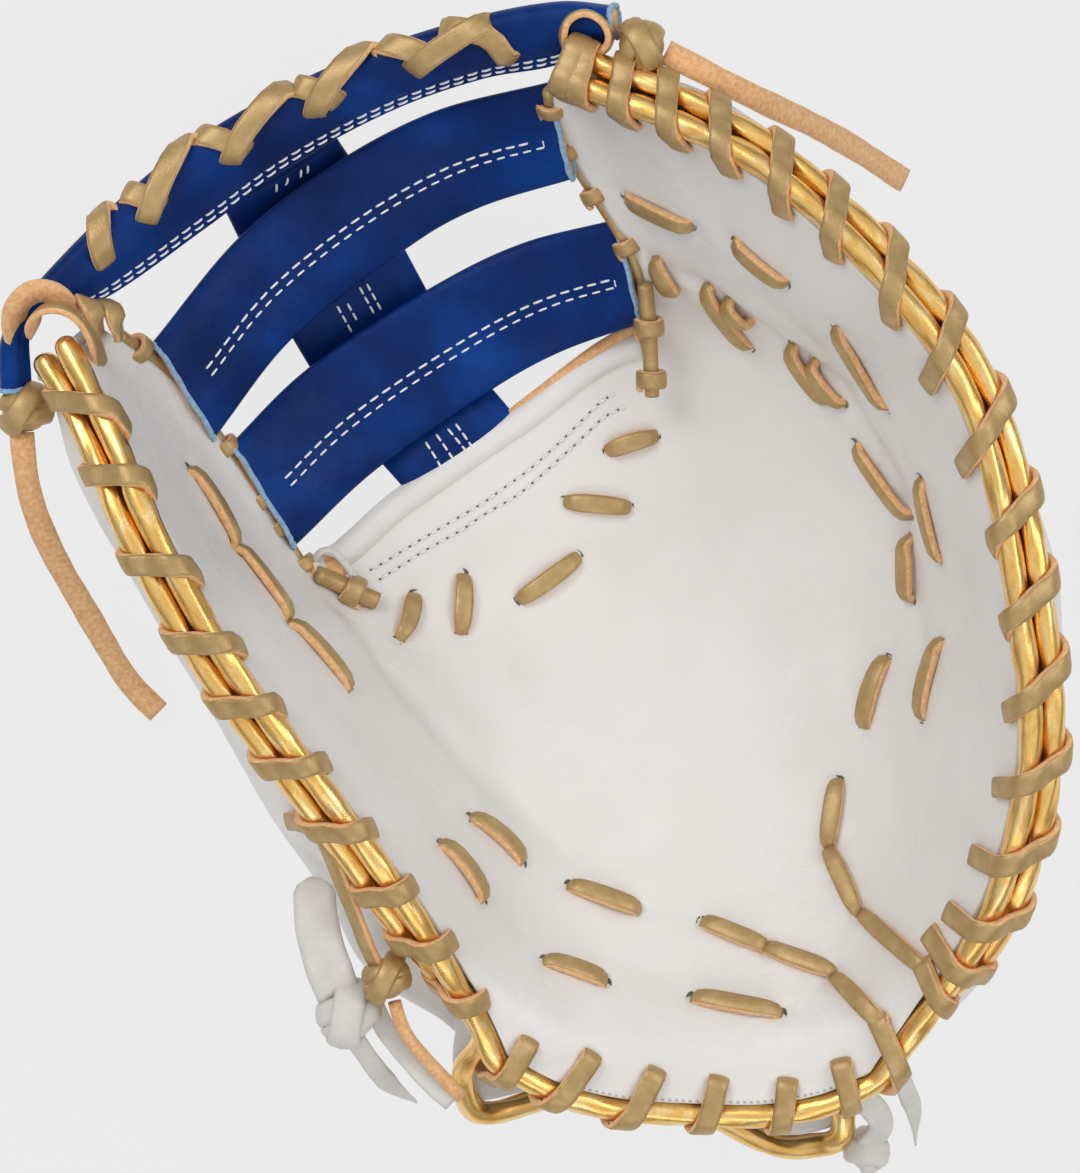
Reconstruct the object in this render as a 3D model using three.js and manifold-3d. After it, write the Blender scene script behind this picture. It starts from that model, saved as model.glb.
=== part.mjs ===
// A first base mitt, lying open on its back with the pocket up.
// X runs from the thumb side to the finger side, Y from the heel to the finger tip, Z up.
import * as THREE from 'three';
import Module from 'manifold-3d';

const wasm = await Module();
wasm.setup();

// Driving dimensions in millimetres
const WIDTH = 306;
const LENGTH = 334;
const DEPTH = 118;
const PALM_WALL = 4;
const BACK_WALL = 3;
const LINING_WALL = 4;
const HAND_ROOM = 20;
const HEEL_LEAN = 0.33;
const LEAN_ROWS = 2;
const THUMB_FLARE = 0.85;
const FLARE_ROWS = 1.6;
const FLARE_STATION = 0.6;
const GAP = 0.3;
const BINDING_DIAMETER = 7.2;
const LIP_DIAMETER = 9;
const LACE_WIDTH = 6.4;
const LACE_THICKNESS = 2.4;
const LACE_CLEARANCE = 1.8;
const HOLE_FROM_BINDING = 4.5;
const STITCH_RISE = 0.8;
const LACE_UNDER = 0.18;
const LACE_REACH = 1.8;
const SLOPE_STEP = 0.08;
const BAR_ROUNDNESS = { wide: 0.6, high: 0.8 };
const LACE_SQUARENESS = 0.5;
const BAR_THICKNESS = 6;
const TOP_BAR_THICKNESS = 9;
const POST_THICKNESS = 4;
const STRAP_WIDTH = 3.4;
const WRIST_BAND_WIDTH = 10;
const WRIST_LACE_WIDTH = 6;

// Facets
const CELLS_ACROSS = [4, 2, 1, 1, 2, 4];
const CELLS_PER_ROW = 2;
const BINDING_SIDES = 8;
const LACE_STEPS = 8;
const BAR_SIDES = 8;
const BAR_STEPS = 3;
const CORD_SIDES = 8;
const CORD_STEP = 3;

// Palm surface, a row for each section from the heel to the tips.
// Each point holds shares of WIDTH, LENGTH and DEPTH.
const PALM_SECTIONS = [
  { row: 'heel_edge',
    thumbRim: [-0.030, -0.410, 0.59], thumbFoot: [0.020, -0.435, 0.55], palmLeft: [0.080, -0.450, 0.51],
    palmMid: [0.155, -0.455, 0.49], webFoot: [0.215, -0.455, 0.50],
    fingerFoot: [0.270, -0.445, 0.53], fingerRim: [0.315, -0.425, 0.56] },
  { row: 'heel_pad',
    thumbRim: [-0.055, -0.360, 0.65], thumbFoot: [0.010, -0.385, 0.59], palmLeft: [0.075, -0.400, 0.53],
    palmMid: [0.155, -0.405, 0.51], webFoot: [0.225, -0.400, 0.52],
    fingerFoot: [0.290, -0.385, 0.56], fingerRim: [0.360, -0.360, 0.64] },
  { row: 'heel_bend',
    thumbRim: [-0.095, -0.295, 0.73], thumbFoot: [-0.005, -0.320, 0.51], palmLeft: [0.070, -0.330, 0.42],
    palmMid: [0.145, -0.335, 0.40], webFoot: [0.225, -0.330, 0.41],
    fingerFoot: [0.315, -0.310, 0.47], fingerRim: [0.405, -0.290, 0.73] },
  { row: 'heel_foot',
    thumbRim: [-0.150, -0.220, 0.81], thumbFoot: [-0.025, -0.230, 0.39], palmLeft: [0.050, -0.235, 0.31],
    palmMid: [0.135, -0.235, 0.28], webFoot: [0.225, -0.230, 0.29],
    fingerFoot: [0.335, -0.220, 0.39], fingerRim: [0.430, -0.225, 0.80] },
  { row: 'mid_palm',
    thumbRim: [-0.210, -0.145, 0.88], thumbFoot: [-0.080, -0.135, 0.36], palmLeft: [0.005, -0.125, 0.25],
    palmMid: [0.110, -0.120, 0.20], webFoot: [0.205, -0.115, 0.21],
    fingerFoot: [0.340, -0.100, 0.34], fingerRim: [0.445, -0.135, 0.86] },
  { row: 'pocket',
    thumbRim: [-0.285, -0.050, 0.93], thumbFoot: [-0.150, -0.050, 0.32], palmLeft: [-0.060, -0.030, 0.19],
    palmMid: [0.040, -0.010, 0.15], webFoot: [0.165, 0.025, 0.15],
    fingerFoot: [0.345, 0.025, 0.32], fingerRim: [0.435, -0.030, 0.92] },
  { row: 'lip',
    thumbRim: [-0.345, 0.045, 0.93], thumbFoot: [-0.225, 0.015, 0.29], palmLeft: [-0.135, 0.075, 0.20],
    palmMid: [-0.025, 0.145, 0.19], webFoot: [0.100, 0.215, 0.23],
    fingerFoot: [0.260, 0.185, 0.36], fingerRim: [0.400, 0.120, 0.97] },
  { row: 'lower_bar',
    thumbRim: [-0.370, 0.095, 0.91], thumbFoot: [-0.275, 0.085, 0.37], palmLeft: [-0.150, 0.150, 0.25],
    palmMid: [-0.025, 0.220, 0.25], webFoot: [0.100, 0.275, 0.39],
    fingerFoot: [0.215, 0.250, 0.63], fingerRim: [0.335, 0.225, 0.99] },
  { row: 'upper_bar',
    thumbRim: [-0.395, 0.145, 0.86], thumbFoot: [-0.345, 0.175, 0.51], palmLeft: [-0.240, 0.255, 0.38],
    palmMid: [-0.105, 0.345, 0.38], webFoot: [0.025, 0.385, 0.56],
    fingerFoot: [0.110, 0.370, 0.75], fingerRim: [0.195, 0.350, 0.93] },
  { row: 'tip',
    thumbRim: [-0.435, 0.215, 0.80], thumbFoot: [-0.415, 0.225, 0.75], palmLeft: [-0.275, 0.360, 0.64],
    palmMid: [-0.135, 0.420, 0.66], webFoot: [0.010, 0.435, 0.75],
    fingerFoot: [0.020, 0.430, 0.78], fingerRim: [0.030, 0.425, 0.81] },
];
const STATIONS = ['thumbRim', 'thumbFoot', 'palmLeft', 'palmMid', 'webFoot', 'fingerFoot', 'fingerRim'];
const LAST_STATION = STATIONS.length - 1;
const LAST_ROW = PALM_SECTIONS.length - 1;

// Where the palm's web opening and the wrist lining lie, as rows and stations of the palm surface
const LIP_ROW = 6;
const WEB_FROM = 1;
const WEB_TO = 4;
const LINING_ROWS = [0.35, 0.6, 1];
const LINING_FROM = 1.5;
const LINING_TO = 4.5;

// Room between the palm and the back, as shares of HAND_ROOM.
// The columns stand at these stations of the palm surface.
const ROOM_STATIONS = {
  thumbWall: 0.5, thumbFoot: 1, floor: 2.5,
  webFoot: 4, fingerFoot: 5, fingerWall: 5.5,
};
const ROOM_ROWS = [
  { thumbWall: 1.30, thumbFoot: 1.70, floor: 1.80, webFoot: 1.80, fingerFoot: 1.60, fingerWall: 1.20 },
  { thumbWall: 1.70, thumbFoot: 1.75, floor: 1.70, webFoot: 1.70, fingerFoot: 1.50, fingerWall: 1.30 },
  { thumbWall: 2.42, thumbFoot: 1.75, floor: 1.60, webFoot: 1.60, fingerFoot: 1.45, fingerWall: 1.35 },
  { thumbWall: 2.42, thumbFoot: 1.60, floor: 1.40, webFoot: 1.40, fingerFoot: 1.25, fingerWall: 1.35 },
  { thumbWall: 2.33, thumbFoot: 1.35, floor: 1.20, webFoot: 1.20, fingerFoot: 1.10, fingerWall: 1.35 },
  { thumbWall: 1.84, thumbFoot: 1.20, floor: 1.00, webFoot: 0.95, fingerFoot: 1.00, fingerWall: 1.35 },
  { thumbWall: 1.45, thumbFoot: 0.75, floor: 0.60, webFoot: 0.50, fingerFoot: 0.80, fingerWall: 1.25 },
  { thumbWall: 1.50, thumbFoot: 0.00, floor: 0.00, webFoot: 0.00, fingerFoot: 0.65, fingerWall: 1.05 },
  { thumbWall: 1.30, thumbFoot: 0.00, floor: 0.00, webFoot: 0.00, fingerFoot: 0.45, fingerWall: 0.90 },
  { thumbWall: 0.30, thumbFoot: 0.00, floor: 0.00, webFoot: 0.00, fingerFoot: 0.05, fingerWall: 0.05 },
];

// Web pieces, a row for each section along the piece, as shares of WIDTH, LENGTH and DEPTH
const TOP_BAR = [
  { upper: [-0.510, 0.170, 0.71], lower: [-0.480, 0.172, 0.71] },
  { upper: [-0.505, 0.220, 0.74], lower: [-0.475, 0.230, 0.73] },
  { upper: [-0.455, 0.280, 0.74], lower: [-0.410, 0.250, 0.69] },
  { upper: [-0.365, 0.360, 0.69], lower: [-0.315, 0.315, 0.59] },
  { upper: [-0.275, 0.415, 0.67], lower: [-0.235, 0.370, 0.57] },
  { upper: [-0.170, 0.460, 0.69], lower: [-0.140, 0.415, 0.61] },
  { upper: [-0.065, 0.490, 0.74], lower: [-0.055, 0.440, 0.67] },
  { upper: [0.015, 0.502, 0.80], lower: [0.014, 0.449, 0.75] },
  { upper: [0.068, 0.497, 0.84], lower: [0.072, 0.470, 0.82] },
];
const UPPER_BAR = [
  { upper: [-0.370, 0.212, 0.58], lower: [-0.315, 0.130, 0.45] },
  { upper: [-0.290, 0.305, 0.51], lower: [-0.240, 0.220, 0.39] },
  { upper: [-0.210, 0.365, 0.48], lower: [-0.130, 0.300, 0.36] },
  { upper: [-0.105, 0.415, 0.53], lower: [-0.060, 0.335, 0.41] },
  { upper: [0.010, 0.438, 0.66], lower: [0.032, 0.358, 0.53] },
];
const LOWER_BAR = [
  { upper: [-0.300, 0.125, 0.41], lower: [-0.240, 0.035, 0.31] },
  { upper: [-0.225, 0.195, 0.32], lower: [-0.160, 0.105, 0.24] },
  { upper: [-0.110, 0.265, 0.29], lower: [-0.050, 0.175, 0.22] },
  { upper: [-0.020, 0.305, 0.32], lower: [0.020, 0.210, 0.25] },
  { upper: [0.075, 0.325, 0.42], lower: [0.100, 0.235, 0.32] },
];
const POST = [
  { upper: [-0.195, 0.395, 0.46], lower: [-0.305, 0.335, 0.46] },
  { upper: [-0.155, 0.340, 0.31], lower: [-0.265, 0.260, 0.31] },
  { upper: [-0.085, 0.225, 0.17], lower: [-0.200, 0.160, 0.18] },
  { upper: [-0.030, 0.160, 0.19], lower: [-0.140, 0.095, 0.19] },
];

// Rim laces: where each runs along the rim, its wraps, and whether it holds both bindings.
// The rim counts 0 to 1 down the thumb side, 1 to 2 along the heel and 2 to 3 up the finger side.
const RIM_LACES = [
  { name: 'rim_lace_thumb', from: 0.05, to: 0.97, wraps: 11, both: true },
  { name: 'rim_lace_heel', from: 1.12, to: 1.91, wraps: 5, both: false },
  { name: 'rim_lace_finger', from: 2.95, to: 2.02, wraps: 16, both: true },
];

// Lace stitches in the palm, from station and row to station and row
const WEB_STITCHES = {
  web_thumb_lace: [
    { from: [0.60, 7.25], to: [0.60, 6.30] },
    { from: [0.58, 6.15], to: [0.56, 5.45] },
    { from: [0.55, 5.25], to: [0.55, 4.60] },
  ],
  web_finger_lace: [
    { from: [4.45, 6.85], to: [4.65, 6.15] },
    { from: [4.80, 6.10], to: [5.00, 5.75] },
    { from: [5.05, 5.55], to: [5.10, 5.20] },
  ],
};

// The lace round the top bar
const TOP_LACE = { from: 0.22, to: 0.92, wraps: 6, clearance: 2.6 };

// Free laces, points chosen by hand in millimetres
const TOP_TAIL = [
  [35.9, 153.7, 101], [46, 149, 101], [57, 142, 98], [68, 139, 86],
  [80, 136, 68], [92, 131, 44], [102, 127, 22], [110, 124, 9],
];
const SIDE_TAIL = [
  [-149.6, 44.3, 84], [-149, 34, 82], [-147, 22, 74], [-142, 8, 60],
  [-136, -5, 42], [-130, -18, 24], [-124, -30, 9], [-116, -38, 5],
];
const HEEL_TAIL = [
  [-42.2, -120.8, 74.6], [-41, -128, 71], [-37, -134, 67], [-31, -141, 62], [-23, -150, 57],
];
const WRIST_BAND = [[-60.4, -85.5, 72.5], [-65, -96, 75], [-63, -107, 75], [-59.6, -117.6, 70.4]];
const WRIST_TAIL = [
  [-53.8, -132.6, 66.2], [-50, -139, 60], [-46, -146, 46], [-41, -152, 26], [-38, -156, 6],
];
const WRIST_END = [
  [105.1, -142, 52], [109, -150, 41], [112, -157, 28], [113, -163, 16], [114, -169, 5],
];
const LIP_STRAP = [[-8, 48, 27], [6, 58, 29.5], [18, 67, 31.5], [30, 75, 34.5]];

// Knots: centre and half sizes in millimetres
const KNOTS = {
  top_knot: { at: [28, 155, 101], half: [7.5, 6.5, 5.5] },
  side_knot: { at: [-149.5, 50.7, 84], half: [7, 6, 5.5] },
  heel_knot: { at: [-43.2, -113.2, 75.6], half: [6, 7, 5.5] },
  wrist_knot: { at: [-56, -124.5, 68], half: [8, 7.5, 6] },
  wrist_end_knot: { at: [98, -169.2, 24], half: [6, 7, 6] },
};

// Colours and finishes
const whiteLeather = new THREE.MeshStandardMaterial({ color: 0xe6e4e0, roughness: 0.5, metalness: 0 });
const pile = new THREE.MeshStandardMaterial({ color: 0x8f8b86, roughness: 0.95, metalness: 0 });
const goldFoil = new THREE.MeshStandardMaterial({ color: 0xe2b04e, roughness: 0.35, metalness: 0.8 });
const tanLace = new THREE.MeshStandardMaterial({ color: 0xb8935a, roughness: 0.6, metalness: 0.2 });
const blueLeather = new THREE.MeshStandardMaterial({ color: 0x0a2f7a, roughness: 0.45, metalness: 0 });
const whiteLace = new THREE.MeshStandardMaterial({ color: 0xd9d6d0, roughness: 0.7, metalness: 0 });

// Values worked out from the driving dimensions
const bindingRadius = BINDING_DIAMETER / 2;
const edgeDepth = PALM_WALL + BACK_WALL + 2 * GAP;
const rimDepth = BINDING_DIAMETER + GAP + (PALM_WALL + BACK_WALL) / 2;
const laceOffset = LACE_CLEARANCE + LACE_THICKNESS / 2;
const laceRadius = bindingRadius + laceOffset;
const holeRadius = laceRadius + HOLE_FROM_BINDING;

const group = new THREE.Group();
const solids = {};

function place([x, y, z]) {
  return new THREE.Vector3(x * WIDTH, y * LENGTH, z * DEPTH);
}

function weights(f) {
  return [
    (-f + 2 * f * f - f * f * f) / 2,
    (2 - 5 * f * f + 3 * f * f * f) / 2,
    (f + 4 * f * f - 3 * f * f * f) / 2,
    (-f * f + f * f * f) / 2,
  ];
}

// Point of a smooth curve through the points, where t counts them
function along(points, t) {
  const last = points.length - 1;
  const i = Math.min(Math.max(Math.floor(t), 0), last - 1);
  const beyond = (point, inner) => point.clone().multiplyScalar(2).sub(inner);
  const first = i > 0 ? points[i - 1] : beyond(points[0], points[1]);
  const end = i + 2 <= last ? points[i + 2] : beyond(points[last], points[last - 1]);
  const w = weights(t - i);
  const point = first.clone().multiplyScalar(w[0]);
  point.addScaledVector(points[i], w[1]);
  point.addScaledVector(points[i + 1], w[2]);
  return point.addScaledVector(end, w[3]);
}

const palmPoints = PALM_SECTIONS.map((section) => STATIONS.map((name) => place(section[name])));

function palmSurface(station, row) {
  return along(palmPoints.map((section) => along(section, station)), row);
}

// Direction that a surface faces, towards the pocket
function normalOf(surface, station, row) {
  const s = Math.min(Math.max(station, SLOPE_STEP), LAST_STATION - SLOPE_STEP);
  const r = Math.min(Math.max(row, SLOPE_STEP), LAST_ROW - SLOPE_STEP);
  const across = surface(s + SLOPE_STEP, r).sub(surface(s - SLOPE_STEP, r));
  const up = surface(s, r + SLOPE_STEP).sub(surface(s, r - SLOPE_STEP));
  return across.cross(up).normalize();
}

function palmNormal(station, row) {
  return normalOf(palmSurface, station, row);
}

// A layer of the palm at a height over its pocket side
function palmLayer(station, row, height) {
  return palmSurface(station, row).addScaledVector(palmNormal(station, row), height);
}

// Share of HAND_ROOM at a station, which at the rims only sets the bindings apart
function roomShare(station, rowIndex) {
  const rimShare = (rimDepth - edgeDepth) / HAND_ROOM;
  const columns = Object.entries(ROOM_STATIONS).map(([name, at]) => [at, ROOM_ROWS[rowIndex][name]]);
  const stops = [[0, rimShare], ...columns, [LAST_STATION, rimShare]];
  const i = Math.min(stops.findIndex(([at]) => at >= station), stops.length - 1);
  if (i <= 0) return stops[0][1];
  const f = eased((station - stops[i - 1][0]) / (stops[i][0] - stops[i - 1][0]));
  return stops[i - 1][1] * (1 - f) + stops[i][1] * f;
}

// Distance from the palm surface to the outside of the back
function backDepth(station, row) {
  const i = Math.min(Math.floor(row), LAST_ROW - 1);
  const f = eased(row - i);
  const share = roomShare(station, i) * (1 - f) + roomShare(station, i + 1) * f;
  return edgeDepth + share * HAND_ROOM;
}

function eased(share) {
  const f = Math.min(Math.max(share, 0), 1);
  return f * f * (3 - 2 * f);
}

// Direction from the back to the palm, which leans to the heel there, away from the rim,
// and flares at the thumb corner of the wrist
function backDirection(station, row) {
  const direction = palmNormal(station, row);
  const leaning = HEEL_LEAN * Math.max(1 - row / LEAN_ROWS, 0);
  const lean = leaning + direction.y * eased((row - 1) / (LEAN_ROWS + 1));
  const fromRim = eased(Math.min(station, LAST_STATION - station));
  direction.y = direction.y * (1 - fromRim) + lean * fromRim;
  const nearCorner = eased(1 - row / FLARE_ROWS) * eased(1 - Math.abs(station - FLARE_STATION));
  direction.x += THUMB_FLARE * nearCorner;
  return direction.normalize();
}

// The outside of the back, which is flat where the mitt rests
function backSurface(station, row) {
  const point = palmSurface(station, row);
  point.addScaledVector(backDirection(station, row), -backDepth(station, row));
  point.z = Math.max(point.z, 0);
  return point;
}

// A layer of the back at a height over its outside
function backLayer(station, row, height) {
  const point = backSurface(station, row);
  return point.addScaledVector(normalOf(backSurface, station, row), height);
}

function gridLine(cells, from = 0) {
  const line = [from];
  cells.forEach((count, i) => {
    for (let k = 1; k <= count; k += 1) line.push(from + i + k / count);
  });
  return line;
}

const stationLine = gridLine(CELLS_ACROSS);
const rowLine = gridLine(Array(LAST_ROW).fill(CELLS_PER_ROW));

function volumeOf(points, faces) {
  return faces.reduce((sum, [a, b, c]) => {
    const cross = new THREE.Vector3().crossVectors(points[b], points[c]);
    return sum + points[a].dot(cross) / 6;
  }, 0);
}

function geometryOf(points, faces) {
  const turned = volumeOf(points, faces) < 0 ? faces.map(([a, b, c]) => [a, c, b]) : faces;
  const used = new Map();
  const index = turned.flat().map((i) => {
    if (!used.has(i)) used.set(i, used.size);
    return used.get(i);
  });
  const positions = [...used.keys()].flatMap((i) => points[i].toArray());
  const geometry = new THREE.BufferGeometry();
  geometry.setAttribute('position', new THREE.Float32BufferAttribute(positions, 3));
  geometry.setIndex(index);
  return geometry;
}

function solidOf(geometry) {
  return new wasm.Manifold(new wasm.Mesh({
    numProp: 3,
    vertProperties: new Float32Array(geometry.attributes.position.array),
    triVerts: new Uint32Array(geometry.index.array),
  }));
}

// The biggest body of a solid, as a geometry
function bodyOf(solid) {
  const bodies = solid.decompose();
  const biggest = bodies.reduce((best, body) => (body.volume() > best.volume() ? body : best));
  const mesh = biggest.getMesh();
  const geometry = new THREE.BufferGeometry();
  geometry.setAttribute('position', new THREE.Float32BufferAttribute(mesh.vertProperties, 3));
  geometry.setIndex([...mesh.triVerts]);
  return geometry;
}

function addPiece(name, geometry, material) {
  const mesh = new THREE.Mesh(geometry, material);
  mesh.name = name;
  group.add(mesh);
}

// A wall between two grids of points, with only the cells that are kept
function wallGeometry(front, back, keep) {
  const rows = front.length;
  const columns = front[0].length;
  const points = [...front.flat(), ...back.flat()];
  const shift = rows * columns;
  const kept = (i, j) => i >= 0 && j >= 0 && i < rows - 1 && j < columns - 1 && keep(i, j);
  const faces = [];
  const side = (a, b) => faces.push([a, a + shift, b + shift], [a, b + shift, b]);
  for (let i = 0; i < rows - 1; i += 1) {
    for (let j = 0; j < columns - 1; j += 1) {
      if (!kept(i, j)) continue;
      const a = i * columns + j;
      const [b, c, d] = [a + 1, a + columns + 1, a + columns];
      faces.push([a, b, c], [a, c, d]);
      faces.push([a + shift, c + shift, b + shift], [a + shift, d + shift, c + shift]);
      if (!kept(i - 1, j)) side(a, b);
      if (!kept(i, j + 1)) side(b, c);
      if (!kept(i + 1, j)) side(c, d);
      if (!kept(i, j - 1)) side(d, a);
    }
  }
  return geometryOf(points, faces);
}

// A solid skinned over rings that hold the same number of points
function skinGeometry(rings) {
  const count = rings[0].length;
  const faces = [];
  for (let i = 0; i < rings.length - 1; i += 1) {
    for (let j = 0; j < count; j += 1) {
      const a = i * count + j;
      const b = i * count + ((j + 1) % count);
      faces.push([a, b, b + count], [a, b + count, a + count]);
    }
  }
  const last = (rings.length - 1) * count;
  for (let j = 1; j < count - 1; j += 1) {
    faces.push([0, j + 1, j], [last, last + j, last + j + 1]);
  }
  return geometryOf(rings.flat(), faces);
}

function tangents(points) {
  return points.map((point, i) => {
    const before = points[Math.max(i - 1, 0)];
    const after = points[Math.min(i + 1, points.length - 1)];
    return after.clone().sub(before).normalize();
  });
}

// A round roll through the points
function rollGeometry(points, radius) {
  const directions = tangents(points);
  let side = new THREE.Vector3().crossVectors(directions[0], new THREE.Vector3(0, 0, 1));
  const rings = points.map((point, i) => {
    side = side.clone().addScaledVector(directions[i], -side.dot(directions[i])).normalize();
    const top = new THREE.Vector3().crossVectors(side, directions[i]);
    return Array.from({ length: BINDING_SIDES }, (_, k) => {
      const angle = (2 * Math.PI * k) / BINDING_SIDES;
      const spot = point.clone().addScaledVector(side, radius * Math.cos(angle));
      return spot.addScaledVector(top, radius * Math.sin(angle));
    });
  });
  return skinGeometry(rings);
}

// The sections of a flat lace through the points, with the direction of its width at each
function laceRings(points, sides, width, thickness) {
  const directions = tangents(points);
  return points.map((point, i) => {
    const across = sides[i].clone().addScaledVector(directions[i], -sides[i].dot(directions[i]));
    across.normalize();
    const out = new THREE.Vector3().crossVectors(across, directions[i]);
    return [[1, 1], [-1, 1], [-1, -1], [1, -1]].map(([u, v]) => {
      const spot = point.clone().addScaledVector(across, (u * width) / 2);
      return spot.addScaledVector(out, (v * thickness) / 2);
    });
  });
}

// What a lace with these sections passes through
function passageOf(rings) {
  const steps = rings.slice(1).map((ring, i) => {
    return wasm.Manifold.hull([...rings[i], ...ring].map((point) => point.toArray()));
  });
  return wasm.Manifold.union(steps);
}

function gridOf(layer, height, stations, rows) {
  return rows.map((row) => stations.map((station) => layer(station, row, height)));
}

function inWeb(i, j) {
  const station = stationLine[j];
  return rowLine[i] >= LIP_ROW && station >= WEB_FROM && station < WEB_TO;
}

function lipRoll() {
  const line = stationLine.filter((station) => station >= WEB_FROM && station <= WEB_TO);
  const centres = line.map((station) => palmLayer(station, LIP_ROW, -PALM_WALL / 2));
  return rollGeometry(centres, LIP_DIAMETER / 2);
}

function makeShells() {
  const grid = (layer, height) => gridOf(layer, height, stationLine, rowLine);
  const keep = (i, j) => !inWeb(i, j);
  const palmWall = solidOf(wallGeometry(grid(palmLayer, 0), grid(palmLayer, -PALM_WALL), keep));
  solids.palm_shell = palmWall.add(solidOf(lipRoll()));
  solids.back_shell = solidOf(wallGeometry(grid(backLayer, BACK_WALL), grid(backLayer, 0), keep));
}

function makeLining() {
  const stations = stationLine.filter((station) => station >= LINING_FROM && station <= LINING_TO);
  const low = BACK_WALL + 2 * GAP;
  const grid = (height) => gridOf(backLayer, height, stations, LINING_ROWS);
  const lining = solidOf(wallGeometry(grid(low + LINING_WALL), grid(low), () => true));
  addPiece('wrist_lining', bodyOf(clearOf(lining, [solids.back_shell])), pile);
}

// The rim, from the thumb tip round the heel to the finger tip
const rimRows = rowLine.slice(1, -1);
const rimStations = stationLine.filter((station) => Number.isInteger(2 * station));
const rimLine = [
  ...[...rimRows].reverse().map((row) => [0, row]),
  ...rimStations.map((station) => [station, 0]),
  ...rimRows.map((row) => [LAST_STATION, row]),
];

function isHeel([station, row]) {
  return row === 0 && station > 0 && station < LAST_STATION;
}

// Centres of a binding that lies along the edge of a layer
function rimCentres(layer, height, heelInside) {
  const edges = rimLine.map(([station, row]) => layer(station, row, height));
  const directions = tangents(edges);
  return edges.map((edge, i) => {
    const [station, row] = rimLine[i];
    let out = new THREE.Vector3().crossVectors(directions[i], palmNormal(station, row));
    if (isHeel(rimLine[i])) {
      out = edge.clone().sub(layer(station, heelInside, height));
      out.addScaledVector(directions[i], -out.dot(directions[i]));
    }
    return edge.clone().addScaledVector(out.normalize(), bindingRadius + GAP);
  });
}

const palmRim = rimCentres(palmLayer, -PALM_WALL / 2, 1 / CELLS_PER_ROW);
const backRim = rimCentres(backLayer, BACK_WALL / 2, 1 / CELLS_PER_ROW);

function rimIndex(t) {
  const rowCount = rimRows.length;
  const stationCount = rimStations.length - 1;
  if (t <= 1) return t * rowCount;
  if (t <= 2) return rowCount + (t - 1) * stationCount;
  return Math.min(rowCount + stationCount + (t - 2) * rowCount, palmRim.length - 1);
}

// The bindings, with the back shell cut clear of its own
function makeBindings() {
  addPiece('palm_binding', rollGeometry(palmRim, bindingRadius), goldFoil);
  addPiece('back_binding', rollGeometry(backRim, bindingRadius), goldFoil);
  const channel = solidOf(rollGeometry(backRim, bindingRadius + GAP / 2));
  solids.back_shell = solids.back_shell.subtract(channel);
}

// Share of the pitch that a wrap has gone: LACE_UNDER on each quarter turn below the rim
function wrapAdvance(phase) {
  const quarter = 1 / 4;
  if (phase < quarter) return (LACE_UNDER * phase) / quarter;
  if (phase > 1 - quarter) return 1 - (LACE_UNDER * (1 - phase)) / quarter;
  return LACE_UNDER + ((1 - 2 * LACE_UNDER) * (phase - quarter)) / (1 - 2 * quarter);
}

function rimLacePoint({ from, to, wraps, both }, turn) {
  const phase = turn % 1;
  const t = from + ((to - from) * (turn - phase + wrapAdvance(phase))) / wraps;
  const index = rimIndex(t);
  const palm = along(palmRim, index);
  const back = along(backRim, index);
  const step = 0.5;
  const ahead = along(palmRim, Math.min(index + step, palmRim.length - 1));
  const direction = ahead.sub(along(palmRim, Math.max(index - step, 0))).normalize();
  const apart = back.clone().sub(palm);
  apart.addScaledVector(direction, -apart.dot(direction));
  const half = both ? apart.length() / 2 : 0;
  const toBack = apart.clone().normalize();
  const out = new THREE.Vector3().crossVectors(toBack, direction).normalize();
  const angle = 2 * Math.PI * (phase - 0.25);
  const level = Math.sin(angle) > 0 ? laceRadius : holeRadius;
  const reach = Math.min(Math.max(LACE_REACH * Math.cos(angle), -1), 1);
  const aside = half * reach + laceRadius * Math.cos(angle);
  const outward = level * Math.sin(angle);
  const centre = palm.clone().addScaledVector(toBack, half);
  const point = centre.clone().addScaledVector(toBack, aside).addScaledVector(out, outward);
  const radial = toBack.multiplyScalar(aside).addScaledVector(out, outward).normalize();
  return { point, radial };
}

function rimLaceRings(lace, grow) {
  const spots = Array.from({ length: lace.wraps * LACE_STEPS + 1 }, (_, i) => {
    return rimLacePoint(lace, Math.min(i / LACE_STEPS, lace.wraps - 1e-6));
  });
  const points = spots.map((spot) => spot.point);
  const directions = tangents(points);
  const sides = spots.map((spot, i) => new THREE.Vector3().crossVectors(directions[i], spot.radial));
  return laceRings(points, sides, LACE_WIDTH + 2 * grow, LACE_THICKNESS + 2 * grow);
}

function makeRimLaces() {
  RIM_LACES.forEach((lace) => {
    addPiece(lace.name, skinGeometry(rimLaceRings(lace, 0)), tanLace);
    const hole = passageOf(rimLaceRings(lace, GAP));
    solids.palm_shell = solids.palm_shell.subtract(hole);
    solids.back_shell = solids.back_shell.subtract(hole);
  });
}

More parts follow.
